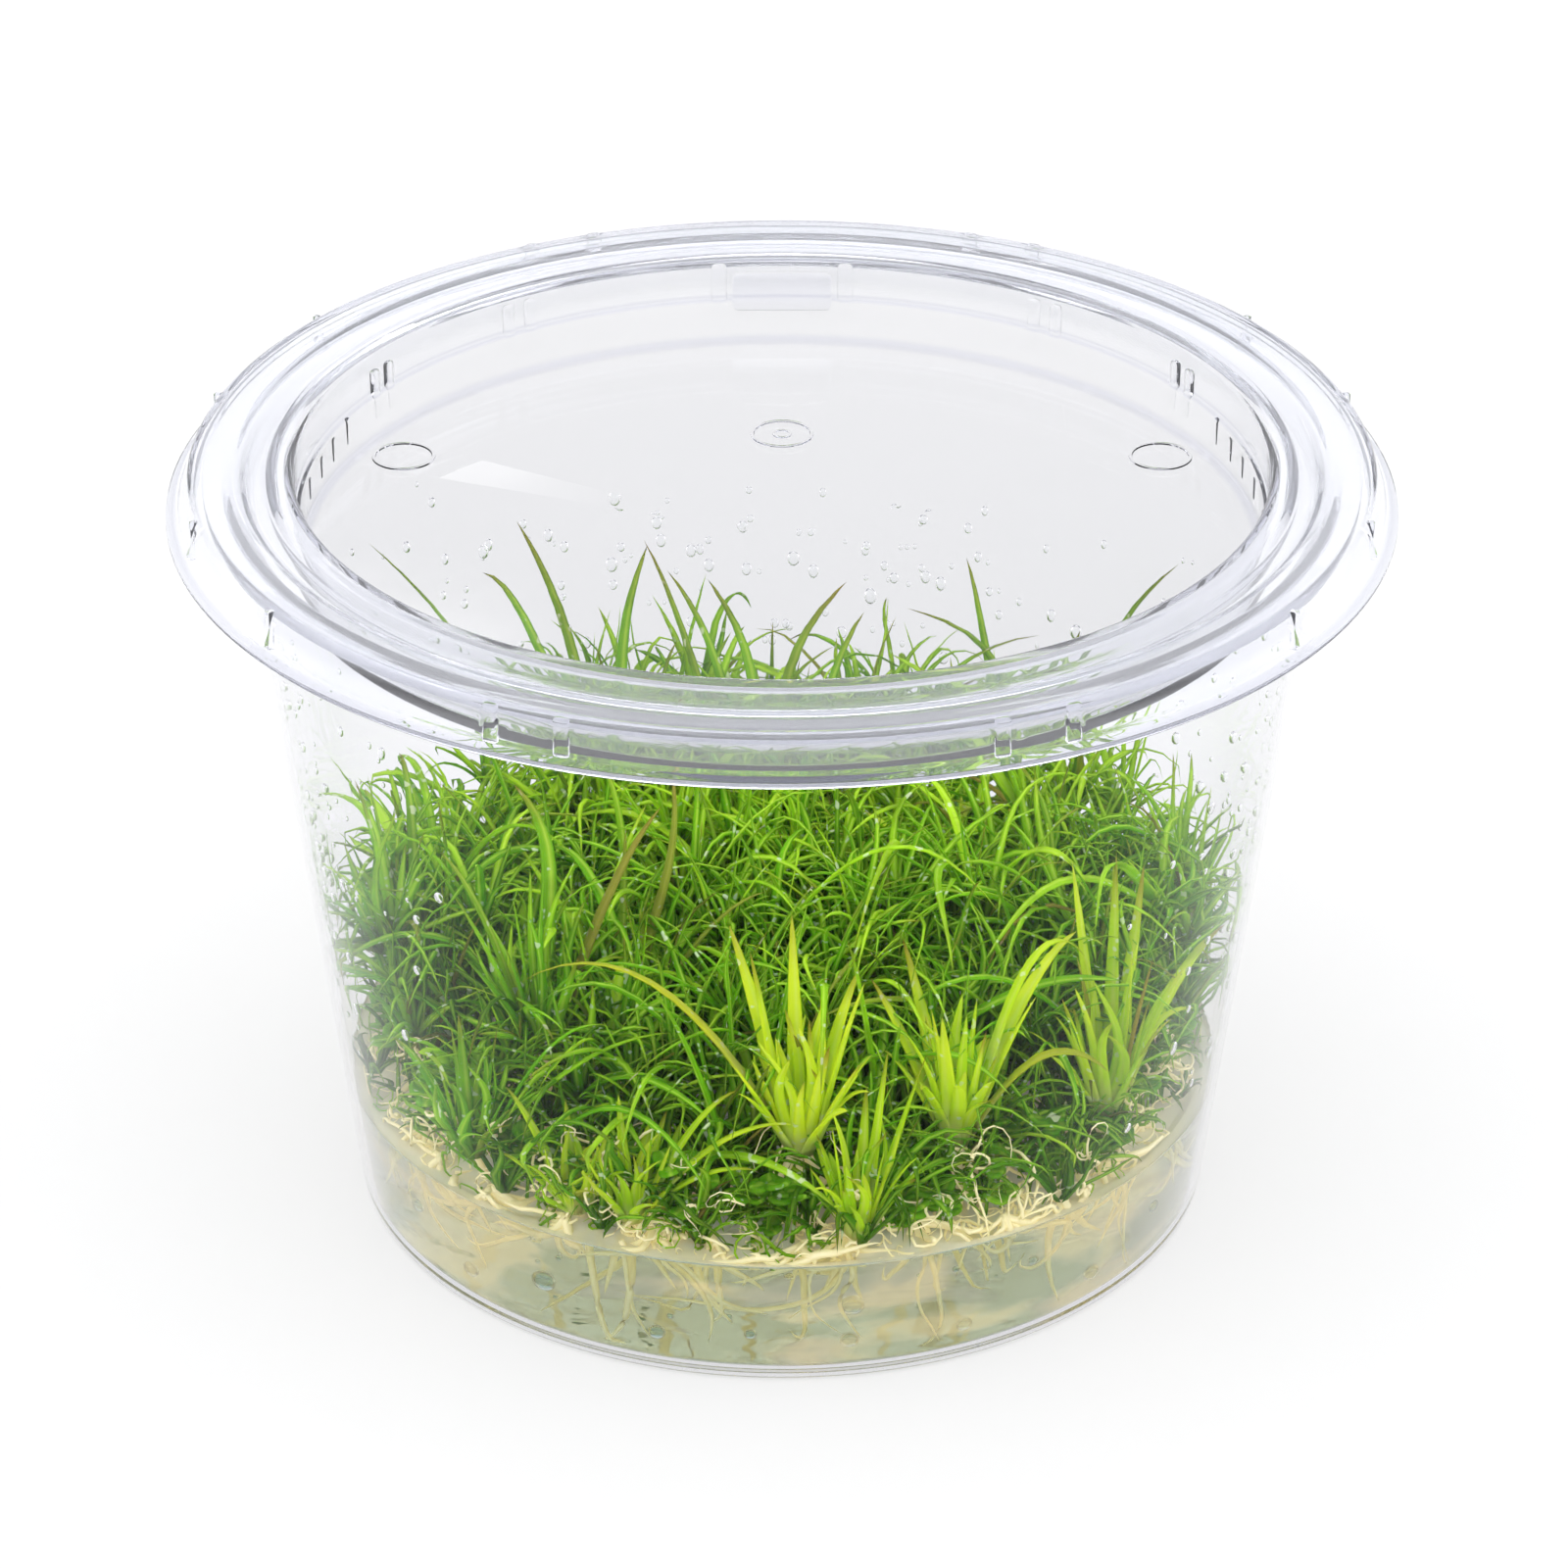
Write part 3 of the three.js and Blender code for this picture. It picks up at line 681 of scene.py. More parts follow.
# Plants that stand out, by crown place and by leaf: direction in degrees, reach, rise and arch.
# aged: how brown a leaf has gone, by its number in the list
standouts = [
    {"tone": 0.95, "crown": (1.5, -27, 17.5), "width": 1.7, "aged": {5: 0.35},
     "leaves": [(134, 7, 17, 2), (160, 3, 17, 1), (100, 3, 19, 1), (-18, 4, 16, 2), (-143, 7, 12, 1),
                (172, 21.5, 13, 15), (-40, 5, 10, 1), (50, 6, 13, 3)],
     "roots": [(-100, 3, -12), (-150, 6, -9), (-30, 5, -10)]},
    {"tone": 0.75, "crown": (14, -24, 16.5), "width": 1.7, "aged": {6: 0.4},
     "leaves": [(146, 7, 12, 2), (114, 9, 13, 1), (24, 10, 14, 15), (0, 5, 13, 2), (42, 12, 14, 6),
                (-105, 4, 14, 1), (-16, 11, 7, 9)],
     "roots": [(-90, 4, -10), (-20, 4, -10)]},
    {"tone": 0.6, "crown": (26.5, -18, 15.5), "width": 1.5,
     "leaves": [(132, 5, 20, 2), (85, 6, 20, 1), (71, 8, 18, 1), (18, 5, 12, 3), (40, 12, 12, 5),
                (-131, 5, 13, 1)],
     "roots": [(-150, 4, -9), (-110, 3, -10)]},
    {"tone": 0.8, "crown": (15.5, 9, 18.5), "width": 1.5,
     "leaves": [(122, 5, 10, 1), (94, 2, 10, 1), (39, 4, 9, 2), (166, 9, 9, 5), (-171, 14, 8, 5),
                (-40, 6, 7, 3)],
     "roots": [(-90, 3, -10)]},
    {"tone": 0.45, "crown": (-12, -30.5, 13.3), "width": 1.3,
     "leaves": [(109, 2, 9, 0), (8, 7.5, 10, 4), (0, 12, 8, 5), (-12, 9, 5, 3), (64, 5, 6, 1)],
     "roots": [(20, 4, -7), (170, 2, -8)]},
    {"tone": 0.5, "crown": (-16.5, -29, 13.2), "width": 1.2,
     "leaves": [(141, 6, 8, 2), (170, 5, 4, 1), (102, 3, 7, 1)],
     "roots": [(60, 3, -6)]},
    {"tone": 0.4, "crown": (6, -32.8, 13.2), "width": 1.3,
     "leaves": [(60, 3.5, 14, 1), (35, 5.5, 14, 1), (140, 3, 7, 1), (82, 4, 10, 1), (8, 4, 5, 1)],
     "roots": [(100, 2, -8), (170, 3, -6)]},
    {"tone": 0.55, "crown": (-19.5, -14, 19.5), "width": 1.9, "aged": {0: 0.25, 2: 0.7},
     "leaves": [(170, 7, 17, 5), (95, 4, 23, 3), (38, 11, 18, 5), (-160, 6, 15, 2), (-60, 5, 11, 1),
                (-130, 8, 12, 1)],
     "roots": [(-90, 3, -11), (150, 3, -11)]},
    {"tone": 0.5, "crown": (-30, -7.5, 14.8), "width": 1.2, "aged": {3: 0.7},
     "leaves": [(150, 7, 15, 5), (122, 9, 21, 6), (112, 11, 20, 4), (-26, 5, 15, 3), (97, 10, 24, 8),
                (-140, 4, 8, 2)],
     "roots": [(-90, 3, -7)]},
    {"tone": 0.6, "crown": (-25, -23, 14.8), "width": 1.6,
     "leaves": [(-15, 15, 11, 5), (-6, 10, 12, 7), (150, 6, 8, 3), (105, 3, 10, 1)],
     "roots": [(30, 3, -8)]},
    {"tone": 0.6, "crown": (32.5, -2, 13.2), "width": 1.2,
     "leaves": [(58, 5, 21, 3), (88, 8, 22, 4), (27, 4, 15, 4), (136, 4, 17, 3), (-135, 6, 15, 2)],
     "roots": [(-90, 2, -6)]},
    {"tone": 0.4, "crown": (-13.5, -12, 17.5), "width": 1.4, "aged": {0: 0.55, 1: 0.6, 2: 0.3},
     "leaves": [(0, 11, 15, 6), (60, 9, 24, 2), (85, 6, 17, 2), (-80, 8, 13, 3)],
     "roots": [(-90, 2, -9)]},
    {"tone": 0.55, "crown": (-13.5, 14, 15.5), "width": 1.6, "aged": {0: 0.35, 4: 0.3},
     "leaves": [(135, 8.5, 36, 3), (168, 19, 35, 4), (88, 10, 31, 4), (150, 11, 31, 10), (-178, 11, 27, 9)],
     "roots": [(-90, 2, -3.7)]},
    {"tone": 0.5, "crown": (-1.5, 12, 15.5), "width": 1.5, "aged": {0: 0.3, 3: 0.35},
     "leaves": [(136, 11, 34, 3), (120, 11.5, 30, 4), (102, 12, 28, 4), (69, 10.5, 29, 4), (50, 10, 27, 3),
                (21, 22, 25, 8)],
     "roots": [(-60, 2, -3.7)]},
    {"tone": 0.55, "crown": (22, 16, 15.5), "width": 1.3,
     "leaves": [(122, 9, 30, 3), (134, 8, 28, 4), (165, 10, 21, 5), (27, 8.5, 33, 3), (70, 8, 23, 3)],
     "roots": [(-60, 2, -3.7)]},
]


goldenAngle = math.pi * (3 - math.sqrt(5))


def numberStream(seed):
    # a repeatable stream of numbers from 0 to 1
    state, modulus = seed, 2147483647
    while True:
        state = state * 16807 % modulus
        yield state / modulus


def strand(start, azimuth, reach, rise, arch):
    # foot, bend and tip of a leaf or root, and the direction across it
    start = np.array(start, float)
    end = start + (reach * math.cos(azimuth), reach * math.sin(azimuth), rise)
    bend = (start + end) / 2 + (0, 0, arch)
    across = np.array((-math.sin(azimuth), math.cos(azimuth), 0))
    return {"start": start, "bend": bend, "end": end, "across": across}


def curvePoint(path, t):
    return (1 - t) ** 2 * path["start"] + 2 * (1 - t) * t * path["bend"] + t * t * path["end"]


def taper(t):
    return (1 - t) ** 0.6


def straightPieces(path, width, steps):
    points = [curvePoint(path, i / steps) for i in range(steps + 1)]
    return [(points[i], points[i + 1], taper(i / steps) * width / 2) for i in range(steps)]


def insideCup(pieces):
    for i, (low, high, half) in enumerate(pieces):
        room = innerRadius(high[2]) - bed["gap"] - half
        lowest = min(low[2], high[2]) if i > 0 else high[2]
        if not (math.hypot(high[0], high[1]) < room and high[2] < bed["headroom"]
                and lowest - half > bed["gelTop"] + bed["gap"]):
            return False
    return True


def pieceDistances(a, b, c, d):
    # shortest distance from the straight piece a to b to each of the pieces c to d
    u, v, w = b - a, d - c, a - c
    uu, uv, vv = u @ u, v @ u, (v * v).sum(1)
    uw, vw = w @ u, (v * w).sum(1)
    bottom = uu * vv - uv * uv
    s = np.where(bottom > 1e-9, np.clip((uv * vw - vv * uw) / np.maximum(bottom, 1e-9), 0, 1), 0)
    t = np.where(vv > 1e-9, np.clip((uv * s + vw) / np.maximum(vv, 1e-9), 0, 1), 0)
    s = np.clip((uv * t - uw) / uu, 0, 1) if uu > 1e-9 else np.zeros(len(vv))
    return np.linalg.norm(w + u * s[:, None] - v * t[:, None], axis=1)


def clearOfOthers(pieces, others):
    if not others:
        return True
    c, d, half = (np.array([other[i] for other in others]) for i in range(3))
    return all((pieceDistances(low, high, c, d) > own + half + bed["gap"]).all() for low, high, own in pieces)


def growLeaves(crown, specs, turns, taken):
    foot = 0.72 * bed["crownRadius"]
    grown = []
    for number, (azimuth, reach, rise, arch, width) in enumerate(specs):
        for turn in turns:
            angle = azimuth + math.radians(turn)
            start = (crown[0] + foot * math.cos(angle), crown[1] + foot * math.sin(angle), crown[2])
            path = strand(start, angle, reach, rise, arch)
            pieces = straightPieces(path, width, 3 if arch > 5.5 else 2)
            if insideCup(pieces) and clearOfOthers(pieces, taken):
                grown.append({"path": path, "pieces": pieces, "width": width, "number": number})
                break
    return grown


def layOutPlants():
    plants, taken = [], []
    half = bed["crownRadius"] * bed["crownStretch"]

    def remember(plant):
        plants.append(plant)
        crown = plant["crown"]
        taken.append((crown, crown, half))
        for leaf in plant["leaves"]:
            taken.extend(leaf["pieces"])
        for root in plant["roots"]:
            taken.extend(straightPieces(root, bed["rootWidth"], 2))

    for row in standouts:
        crown = np.array(row["crown"], float)
        roots = [strand(crown, math.radians(azimuth), reach, rise, 0.15 * reach)
                 for azimuth, reach, rise in row["roots"]]
        specs = [(math.radians(azimuth), reach, rise, arch, row["width"])
                 for azimuth, reach, rise, arch in row["leaves"]]
        leaves = growLeaves(crown, specs, bed["leafTurns"], taken)
        remember({"crown": crown, "leaves": leaves, "roots": roots, "row": row})

    random = numberStream(bed["seed"])
    seatHeight = bed["gelTop"] + bed["gap"] + half + 0.05
    for seat in range(bed["seats"]):
        radius = bed["radius"] * math.sqrt((seat + 0.5) / bed["seats"])
        around = seat * goldenAngle
        crown = np.array((radius * math.cos(around), radius * math.sin(around), seatHeight))
        whorl = next(random) * math.pi * 2
        specs = []
        for k in range(bed["whorlLeaves"]):
            rise = 13 + 13 * next(random)
            reach = 2 + 9 * next(random)
            specs.append((whorl + k * 2 * math.pi / bed["whorlLeaves"], reach, rise, reach / 2,
                          bed["whorlWidth"]))
        if clearOfOthers([(crown, crown, half)], taken):
            leaves = growLeaves(crown, specs, bed["whorlTurns"], taken)
            if len(leaves) > 3:
                remember({"crown": crown, "leaves": leaves, "roots": [], "row": None})
    return plants


plants = layOutPlants()
print("plants laid out:", len(plants))


# Two blades, a root, a round leaf, a drop and a bead are modelled once and then copied

def modelBlade(name, sides, rings, channel):
    startClean()
    bpy.ops.mesh.primitive_cylinder_add(vertices=sides, radius=0.5, depth=1, location=(0, 0, 0.5))
    blade = bpy.context.object
    blade.name = name
    bpy.ops.object.transform_apply(location=True)
    editAll()
    for ring in range(1, rings):
        bpy.ops.mesh.select_all(action='SELECT')
        bpy.ops.mesh.bisect(plane_co=(0, 0, ring / rings), plane_no=(0, 0, 1))
    if channel:                             # the upper face is hollowed along its middle
        pick(blade, 'VERT', lambda v: v.co.y > 0.45)
        bpy.ops.transform.translate(value=(0, -channel, 0))
    for ring in range(1, rings):
        height = ring / rings
        share = taper(height) * (1 + 0.12 * math.sin(math.pi * height))
        pick(blade, 'VERT', lambda v: abs(v.co.z - height) < 1e-4)
        bpy.ops.transform.resize(value=(share, share, 1), center_override=(0, 0, height))
    pick(blade, 'VERT', lambda v: v.co.z > 0.999)
    bpy.ops.mesh.merge(type='CENTER')
    leaveEdit()
    return takeTemplate(blade)


def modelRoundLeaf():
    # a small dished pad on its edge, foot at 0 and far side at 1
    startClean()
    bpy.ops.mesh.primitive_cylinder_add(vertices=12, radius=0.5, depth=0.5, location=(0, 0, 0.5),
                                        rotation=(math.pi / 2, 0, 0))
    pad = bpy.context.object
    bpy.ops.object.transform_apply(location=True, rotation=True)
    editAll()
    pick(pad, 'FACE', lambda f: abs(f.normal.y) > 0.9)
    bpy.ops.mesh.inset(thickness=0.16)
    bpy.ops.transform.resize(value=(1, 1.7, 1))
    bpy.ops.mesh.inset(thickness=0.18)
    bpy.ops.transform.translate(value=(0, -0.3, 0))
    leaveEdit()
    return takeTemplate(pad)


def modelDrop(subdivisions, flat):
    # a bead, or a bead cut flat on the side that clings to the wall
    startClean()
    bpy.ops.mesh.primitive_ico_sphere_add(subdivisions=subdivisions, radius=1)
    drop = bpy.context.object
    if flat:
        editAll()
        bpy.ops.mesh.bisect(plane_co=(0, 0.25, 0), plane_no=(0, 1, 0), use_fill=True, clear_outer=True)
        bpy.ops.mesh.select_all(action='SELECT')
        bpy.ops.transform.resize(value=(1, 0.65, 1.12), center_override=(0, 0.25, 0))
        bpy.ops.transform.translate(value=(0, -0.25, 0))
        leaveEdit()
    return takeTemplate(drop)


def takeTemplate(piece):
    mesh = piece.data
    places = np.array([v.co for v in mesh.vertices])
    faces = [list(f.vertices) for f in mesh.polygons]
    share = np.array([max(taper(min(z, 0.97)), 0.05) for z in places[:, 2].clip(0, 1)])
    u = (places[:, 0] / share * 0.9 + 0.5).clip(0, 1)
    bpy.data.objects.remove(piece)
    return {"places": places, "faces": faces, "u": u}


wideBlade = modelBlade("wide_blade", 8, 12, 0.32)
fineBlade = modelBlade("fine_blade", 4, 7, 0)
rootBlade = modelBlade("root_blade", 5, 16, 0)
padLeaf = modelRoundLeaf()
wallDrop = modelDrop(2, True)
bead = modelDrop(1, False)
print("templates modelled")


class Heap:
    # copies of the templates, gathered for one mesh
    def __init__(self):
        self.places, self.faces, self.maps, self.tints, self.finishes = [], [], [], [], []
        self.count = 0

    def add(self, template, places, tint, finish=0):
        self.places.append(places)
        self.faces.extend([[i + self.count for i in face] for face in template["faces"]])
        self.maps.append(np.column_stack((template["u"], template["places"][:, 2].clip(0, 1))))
        self.tints.append(np.tile((*tint, 1), (len(places), 1)))
        self.finishes.extend([finish] * len(template["faces"]))
        self.count += len(places)

    def build(self, name):
        mesh = bpy.data.meshes.new(name)
        mesh.from_pydata(np.concatenate(self.places) * mm, [], self.faces)
        corner = np.zeros(len(mesh.loops), int)
        mesh.loops.foreach_get("vertex_index", corner)
        uv = mesh.uv_layers.new(name="leafMap")
        uv.data.foreach_set("uv", np.concatenate(self.maps)[corner].ravel())
        tint = mesh.color_attributes.new("tint", 'FLOAT_COLOR', 'POINT')
        tint.data.foreach_set("color", np.concatenate(self.tints).ravel())
        mesh.polygons.foreach_set("material_index", self.finishes)
        mesh.polygons.foreach_set("use_smooth", [True] * len(mesh.polygons))
        mesh.update()
        piece = bpy.data.objects.new(name, mesh)
        bpy.context.scene.collection.objects.link(piece)
        return piece


def keptInside(centres, margin, lowest):
    # leaves bend along the wall and over the gel instead of passing through
    room = innerRadius(centres[:, 2]) - margin
    distance = np.hypot(centres[:, 0], centres[:, 1])
    pull = np.minimum(1, room / np.maximum(distance, 1e-6))
    centres = centres * np.column_stack((pull, pull, np.ones(len(pull))))
    centres[:, 2] = centres[:, 2].clip(lowest, bed["headroom"] - 0.4)
    return centres


def bentBlade(template, path, width, thickness, sway=0.0, twist=0.0, lowest=11.2, margin=0.5):
    t = template["places"][:, 2:3].clip(0, 1)
    start, bend, end, across = path["start"], path["bend"], path["end"], path["across"]
    centres = (1 - t) ** 2 * start + 2 * (1 - t) * t * bend + t * t * end
    centres = centres + across * sway * np.sin(t * math.pi * 1.35) * t
    along = 2 * (1 - t) * (bend - start) + 2 * t * (end - bend)
    along = along / np.maximum(np.linalg.norm(along, axis=1, keepdims=True), 1e-9)
    keel = np.cross(across, along)
    turn = twist * t
    side = across * np.cos(turn) + keel * np.sin(turn)
    up = across * np.sin(turn) - keel * np.cos(turn)
    centres = keptInside(centres, margin, lowest)
    return (centres + side * template["places"][:, 0:1] * width
            + up * template["places"][:, 1:2] * thickness)


def overArched(path):
    # the same leaf with its tip hanging over a little
    outward = (path["end"] - path["start"]) * (1, 1, 0)
    outward = outward / max(np.linalg.norm(outward), 1e-6)
    return dict(path, bend=path["bend"] + (0, 0, 4), end=path["end"] + outward * 2.5 - (0, 0, 3))


growth = {
    "seed": 17,
    # tone: darkest by the gel and lighter with height, as painted shade; lighter also towards the back
    "gelTone": 0.05,
    "topTone": 0.4,
    "toneSpread": 0.35,
    "backTone": 0.35,
    "backLength": 14,
    "brightPlants": 7,
    "mainWidth": 0.72,                      # of the width that the solid has
    "brightWidth": 0.95,                    # the same of the bright plants
    "mainThickness": 0.4,
    # the tallest leaves are broader and browner, and lean to one side
    "tallFrom": 38,
    "tallWidth": 1.25,
    "tallTone": 0.45,
    "tallAge": 0.15,
    "tallSway": 2.2,
    "fineWidth": (0.4, 0.95),
    "fineThickness": 0.26,
    "rosetteLeaves": 24,                    # extra leaves of the same kind round a standing-out crown
    "rosetteTall": 17,
    "shoots": 460,                          # places tried for the small rosettes that fill the bed
    "shootLeaves": (9, 15),
    "shootHeight": 7,
    "shootInset": 1.6,                      # from the wall
    "scatter": 0.7,
    "turn": 2.4,                            # from one leaf of a rosette to the next, in radians
    "leafLength": (6, 13.5),
    "lowShoots": 300,                       # shorter ones that cover the gel between them
    "lowLeaves": (6, 10),
    "lowLength": (3, 6.5),
    "longShare": 0.34,                      # share of the shoots with one long leaf over the bed
    "longReach": (10, 21),
    "longRise": (1, 9),
    "longWidth": (0.75, 1.35),
    "drooping": 0.38,                       # share of the fine leaves that arch over
    "browned": 0.03,                        # share of them that have gone brown
    # the bed slopes down towards the front of the cup, where the gel shows
    "slopeStart": -6,                       # how far forward it begins
    "slopeTurn": 18,                        # over which it reaches its full steepness
    "slopeLength": 26,                      # from the wall inwards
    "frontTop": 12.6,
    "fullTop": 33,
    "frontShare": 0.12,                     # share of the places that are taken at the front wall
    "bareEdge": 4.6,                        # hardly anything grows this near the front wall
    "bareShare": 0.16,
    "frontFrom": -12,
}


def depthShare(x, y):
    # 0 at the front wall, 1 where the bed has its full height
    edge = innerRadius(bed["gelTop"]) - math.hypot(x, y)
    frontal = min(max((growth["slopeStart"] - y) / growth["slopeTurn"], 0), 1)
    return 1 - frontal * (1 - min(max(edge / growth["slopeLength"], 0), 1))


def toned(chance, tone, spread):
    return float(np.clip(tone + chance.normal(0, spread), 0, 1))


def addFineLeaf(heap, chance, foot, azimuth, reach, rise, tone, template=None, width=None, finish=0):
    arch = reach * chance.uniform(0.15, 0.8)
    if template is None and chance.random() < growth["drooping"]:
        reach, rise = reach + rise * chance.uniform(0.4, 0.8), rise * chance.uniform(0.1, 0.6)
        arch = reach * chance.uniform(0.45, 0.8)
    path = strand(foot, azimuth, reach, rise, arch)
    width = width or chance.uniform(*growth["fineWidth"])
    age = chance.uniform(0.3, 0.8) if chance.random() < growth["browned"] else 0
    red = chance.random() ** 4
    template = template or fineBlade
    places = bentBlade(template, path, width, growth["fineThickness"] * (0.5 + width),
                       chance.normal(0, 0.9), chance.normal(0, 0.6))
    heap.add(template, places, (toned(chance, tone, 0.2), age, red), finish)


def growShoot(heap, chance, foot, tone, leafRange, lengthRange, finish=0):
    # a small rosette on a stalk: upright leaves inside, leaning ones outside
    ground = np.array((foot[0] * 0.96, foot[1] * 0.96, bed["gelTop"] + 0.1))
    lean = foot - ground
    stalk = {"start": ground, "bend": ground + (0, 0, lean[2] * 0.6), "end": foot,
             "across": np.array((1.0, 0, 0))}
    heap.add(fineBlade, bentBlade(fineBlade, stalk, 0.5, 0.4, chance.normal(0, 0.5)),
             (tone * 0.7, 0, 0), finish)
    leaves = chance.integers(*leafRange)
    longest = chance.uniform(*lengthRange)
    for k in range(leaves):
        azimuth = k * growth["turn"] + chance.uniform(-0.5, 0.5)
        lift = math.radians(78 - 70 * (k + 0.5) / leaves + chance.normal(0, 9))
        length = longest * chance.uniform(0.6, 1.15)
        start = foot + np.array((math.cos(azimuth), math.sin(azimuth), 0)) * chance.uniform(0.05, 0.4)
        addFineLeaf(heap, chance, start, azimuth, length * math.cos(lift), length * math.sin(lift), tone,
                    finish=finish)


def seatShoots(number, seed, low):
    # spreads small rosettes over the gel and gives each to the plant that it stands nearest to
    chance = np.random.default_rng(seed)
    crowns = np.array([plant["crown"][:2] for plant in plants])
    seats = [[] for _ in plants]
    wall, ground = innerRadius(bed["gelTop"]), bed["gelTop"] + 0.5
    for k in range(number):
        angle = k * goldenAngle + seed
        radius = (wall - growth["shootInset"]) * math.sqrt((k + 0.5) / number)
        x = radius * math.cos(angle) + chance.normal(0, growth["scatter"])
        y = radius * math.sin(angle) + chance.normal(0, growth["scatter"])
        share, inFront = depthShare(x, y), y < growth["frontFrom"]
        bare = inFront and wall - math.hypot(x, y) < growth["bareEdge"]
        if chance.random() > (growth["bareShare"] if bare else growth["frontShare"] + 2.4 * share):
            continue
        top = growth["frontTop"] + (growth["fullTop"] - growth["frontTop"]) * share
        tallest = top - growth["shootHeight"] - ground
        stalk = chance.uniform(0, 3) if low else max(tallest, 0.2) * chance.random() ** 0.6
        height = ground + stalk
        # painted shade: the lower a shoot stands in the bed, the darker its tone
        tone = growth["gelTone"] + growth["topTone"] * (height - ground) / max(tallest, 3)
        tone += chance.uniform(0, growth["toneSpread"])
        tone += growth["backTone"] * min(max(y / growth["backLength"], 0), 1)
        # painted shade: the low shoots darker still, less so at the front
        if low:
            tone *= 0.8 if inFront else 0.4
        nearest = int(np.argmin(np.hypot(crowns[:, 0] - x, crowns[:, 1] - y)))
        seats[nearest].append((np.array((x, y, height)), tone))
    return seats


def growPlant(number, plant, seats, lowSeats):
    chance = np.random.default_rng(growth["seed"] * 1000 + number)
    heap = Heap()
    crown, row = plant["crown"], plant["row"]
    tone = row["tone"] if row else 0.35 + 0.3 * chance.random()
    aged = row.get("aged", {}) if row else {}
    bright = number < growth["brightPlants"]
    own = 2 if bright else 0                # the bed round a bright plant is as green as the rest
    for leaf in plant["leaves"]:
        path = leaf["path"]
        width = leaf["width"] * growth["brightWidth" if bright else "mainWidth"]
        tall = path["end"][2] > growth["tallFrom"]
        if tall:
            path, width = overArched(path), width * growth["tallWidth"]
        tint = (toned(chance, growth["tallTone"] if tall else tone, 0.1),
                aged.get(leaf["number"], growth["tallAge"] if tall else 0),
                chance.uniform(0.6 if tall else 0, 1))
        sway = chance.normal(0, growth["tallSway"]) if tall else 0
        heap.add(wideBlade, bentBlade(wideBlade, path, width, growth["mainThickness"], sway,
                                      chance.normal(0, 0.25)), tint)
    if row:
        # more leaves of the rosette, between the ones that are given
        rises = [leaf["path"]["end"][2] - crown[2] for leaf in plant["leaves"]]
        tallest = min(np.median(rises), growth["rosetteTall"])
        steep, spread, widths = (0.5, 5, (0.6, 0.95)) if bright else (0.6, 7, (0.4, 0.68))
        for k in range(growth["rosetteLeaves"]):
            azimuth = k * growth["turn"] + chance.uniform(-0.4, 0.4)
            share = (k + 0.5) / growth["rosetteLeaves"]
            start = crown + np.array((math.cos(azimuth), math.sin(azimuth), -1)) * 0.8
            rise = tallest * (1.1 - steep * share) * chance.uniform(0.65, 1.05)
            reach = (1 + spread * share) * chance.uniform(0.6, 1.3)
            addFineLeaf(heap, chance, start, azimuth, reach, rise, tone, wideBlade,
                        row["width"] * chance.uniform(*widths))
    else:
        growShoot(heap, chance, crown - (0, 0, 1.5), tone, growth["shootLeaves"], growth["leafLength"])
    for foot, ownTone in seats:
        growShoot(heap, chance, foot, ownTone, growth["shootLeaves"], growth["leafLength"], own)
        if chance.random() < growth["longShare"]:
            reach = chance.uniform(*growth["longReach"])
            addFineLeaf(heap, chance, foot, chance.uniform(0, 2 * math.pi), reach,
                        chance.uniform(*growth["longRise"]), ownTone + 0.2, wideBlade,
                        chance.uniform(*growth["longWidth"]), own)
    for foot, ownTone in lowSeats:
        growShoot(heap, chance, foot, ownTone, growth["lowLeaves"], growth["lowLength"], own)
    for root in plant["roots"]:
        heap.add(rootBlade, bentBlade(rootBlade, root, bed["rootWidth"], bed["rootWidth"], 0.8, 0, 1.6, 1.0),
                 (0, 0, 0), 1)
    name = "eriocaulon_%02d" % (number + 1)
    piece = heap.build("plantlet_%02d" % (number + 1))
    return finishPiece(piece, [name],
                       [brightLeaf if bright else greenLeaf, rootFinish, greenLeaf])


shootSeats = seatShoots(growth["shoots"], growth["seed"], False)
lowSeats = seatShoots(growth["lowShoots"], growth["seed"] + 1, True)
plantPieces = [growPlant(number, plant, shootSeats[number], lowSeats[number])
               for number, plant in enumerate(plants)]
print("plants grown:", len(plantPieces), "with", sum(len(p.data.polygons) for p in plantPieces), "faces")


roots = {
    "seed": 5,
    "deepRoots": 40,                        # they go down through the gel
    "fans": 13,                             # bunches of roots near the front wall
    "fanRoots": 6,
    "fanSpread": 1.2,                       # to each side of the front, in radians
    "threads": 420,                         # curly threads on the gel's surface
    "threadSpread": 1.3,
    "climbing": 0.3,                        # share of them that climb between the leaves at the wall
    "runners": 0.28,                        # share of them that are thin green runners
    # start: height over the gel; heights: lowest and highest place
    "deep": {"length": (9, 22), "curl": 0.1, "heights": (1.5, 11.6)},
    "fan": {"length": (6, 14), "curl": 0.14, "heights": (1.5, 12.2)},
    "thread": {"length": (5, 15), "curl": 0.55, "heights": (10.8, 13.5), "start": (0.1, 1.2)},
    "climber": {"length": (5, 15), "curl": 0.55, "heights": (10.8, 18.5), "start": (1, 6)},
    "radius": (0.19, 0.44),
    "threadRadius": (0.08, 0.17),
    "steps": 18,
}


